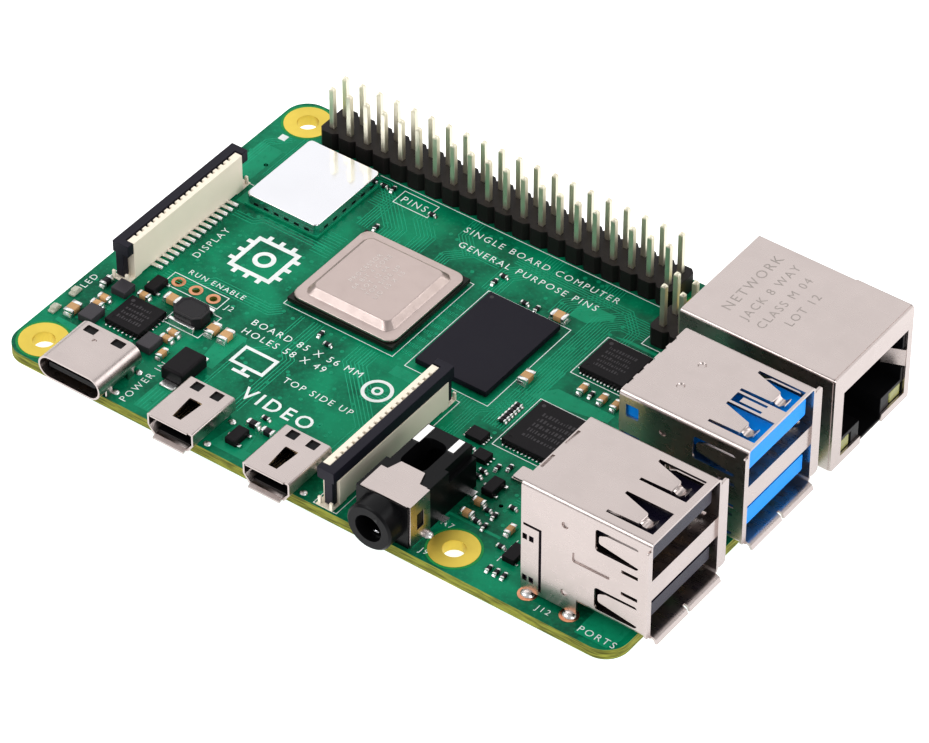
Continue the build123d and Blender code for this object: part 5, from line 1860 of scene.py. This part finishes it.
@dataclass
class NetworkJack:
    """Network jack: shell, body, contacts and light pipes."""

    plate_drop: float = 0.10
    engraving: tuple[tuple[str, float, float, float], ...] = (
        ("NETWORK", 4.6, 3.0, 1.3),
        ("JACK 8 WAY", 7.0, 2.8, 1.1),
        ("CLASS M 04", 9.3, 2.6, 1.1),
        ("LOT 12", 11.6, 4.8, 1.1),
    )

    def build(self) -> None:
        """Make the jack."""
        round_off(Finish.STEEL, "shell_steel", 0.05, "network_jack_shell")
        round_off(Finish.BLACK, "black_plastic", 0.08, "network_jack_body")
        round_off(Finish.PIPE, "lamp_lens", 0.1, "network_light_pipes")
        dress(Finish.CONTACT, "network_jack_contacts")
        x0, y0, _, _ = layout.of("network_jack_shell")
        top = (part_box("network_jack_shell")[1].z - layout.high.z) / MM - self.plate_drop
        pen = Silkscreen()
        lines = [
            pen.write(text, x0 + along, y0 + across, size, 90, top)
            for text, along, across, size in self.engraving
        ]
        settle(join("jack_marks", lines), Finish.ENGRAVED)


@dataclass
class CardSocket:
    """Memory card socket on the underside."""

    def build(self) -> None:
        """Make the socket."""
        round_off(Finish.STEEL, "shell_steel", 0.04, "card_socket_shell")
        dress(Finish.BLACK, "card_socket_base")
        dress(Finish.CONTACT, "card_socket_contacts")


# ---------------------------------------------------------------- studio
@dataclass
class Studio:
    """Camera, pale floor and soft light.

    Attributes:
        azimuth: the camera's turn in degrees.
        elevation: its height in degrees.
        distance: its distance from the point that it aims at.
        aim: that point on the board.
        lens: its focal length.
    """

    azimuth: float = 36.41
    elevation: float = 41.56
    distance: float = 559.7
    aim: Point = (45.2, 27.5)
    lens: float = 192.2
    light_distance: float = 0.6

    def direction(self, azimuth: float, elevation: float) -> Vector:
        """Unit vector that points away from the board.

        Args:
            azimuth: its turn in degrees.
            elevation: its height in degrees.

        Returns:
            The vector.
        """
        turn, lift = math.radians(azimuth), math.radians(elevation)
        flat = math.cos(lift)
        return Vector((math.sin(turn) * flat, -math.cos(turn) * flat, math.sin(lift)))

    def camera(self) -> None:
        """Place the camera."""
        target = layout.at(*self.aim)
        away = self.direction(self.azimuth, self.elevation)
        data = bpy.data.cameras.new("camera")
        data.lens = self.lens
        data.sensor_width = 36.0
        data.clip_start = 0.01
        data.clip_end = 10.0
        camera = bpy.data.objects.new("camera", data)
        bpy.context.scene.collection.objects.link(camera)
        camera.location = target + away * self.distance * MM
        camera.rotation_euler = (-away).to_track_quat("-Z", "Y").to_euler()
        bpy.context.scene.camera = camera

    def softbox(self, name: str, azimuth: float, elevation: float, size: float, power: float) -> None:
        """Hang a square light that faces the board.

        Args:
            name: the light's name.
            azimuth: its turn in degrees.
            elevation: its height in degrees.
            size: its side in metres.
            power: its power in watts.
        """
        away = self.direction(azimuth, elevation)
        data = bpy.data.lights.new(name, "AREA")
        data.size = size
        data.energy = power
        light = bpy.data.objects.new(name, data)
        bpy.context.scene.collection.objects.link(light)
        light.location = away * self.light_distance
        light.rotation_euler = (-away).to_track_quat("-Z", "Y").to_euler()

    def floor(self) -> None:
        """Lay the pale floor under the lowest part."""
        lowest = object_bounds()[0][2]
        bpy.ops.object.select_all(action="DESELECT")
        bpy.ops.mesh.primitive_plane_add(size=6, location=(0, 0, lowest - 0.0002))
        floor = bpy.context.object
        floor.name = "floor"
        graph = Graph("floor")
        pale = graph.dress(
            Base_Color=(0.6, 0.6, 0.6),
            Roughness=0.9,
            Emission_Color=(1, 1, 1),
            Emission_Strength=0.75,
        )
        floor.data.materials.append(pale)
        floor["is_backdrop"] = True

    def build(self) -> None:
        """Set up the whole studio."""
        self.camera()
        self.floor()
        world = bpy.data.worlds.new("studio")
        world.use_nodes = True
        background = world.node_tree.nodes["Background"]
        background.inputs["Color"].default_value = (1.0, 1.0, 1.0, 1)
        background.inputs["Strength"].default_value = 0.42
        bpy.context.scene.world = world
        bpy.context.scene.view_settings.view_transform = "Standard"
        bpy.context.scene.view_settings.look = "Medium High Contrast"
        self.softbox("back", 216, 46, 0.75, 1.15)
        self.softbox("key", -36, 43, 0.35, 1.0)
        self.softbox("side", 75, 26, 0.35, 1.1)
        self.softbox("edge", 136, 32, 0.3, 0.5)


def main() -> None:
    """Build every piece in order."""
    logging.basicConfig(level=logging.INFO, format="%(message)s")
    Studio().build()
    sub_assemblies = (
        Board(),
        Processor(),
        Chips(),
        WirelessModule(),
        PowerParts(),
        Headers(),
        RibbonConnector("display"),
        RibbonConnector("camera"),
        EdgeSockets(),
        PortStack("a", Finish.TONGUE, "black_plastic"),
        PortStack("b", Finish.BLUE, "blue_plastic"),
        NetworkJack(),
        CardSocket(),
        SolderJoints(),
    )
    for sub_assembly in sub_assemblies:
        log.info("building %s", type(sub_assembly).__name__)
        sub_assembly.build()
    parts = ChipParts()
    parts.build("capacitor", "capacitor_bodies", "capacitor_terminals", Finish.CERAMIC, "ceramic")
    parts.build("resistor", "resistor_bodies", "resistor_terminals", Finish.RESISTOR, "resistor_film")


if __name__ == "__main__":
    main()
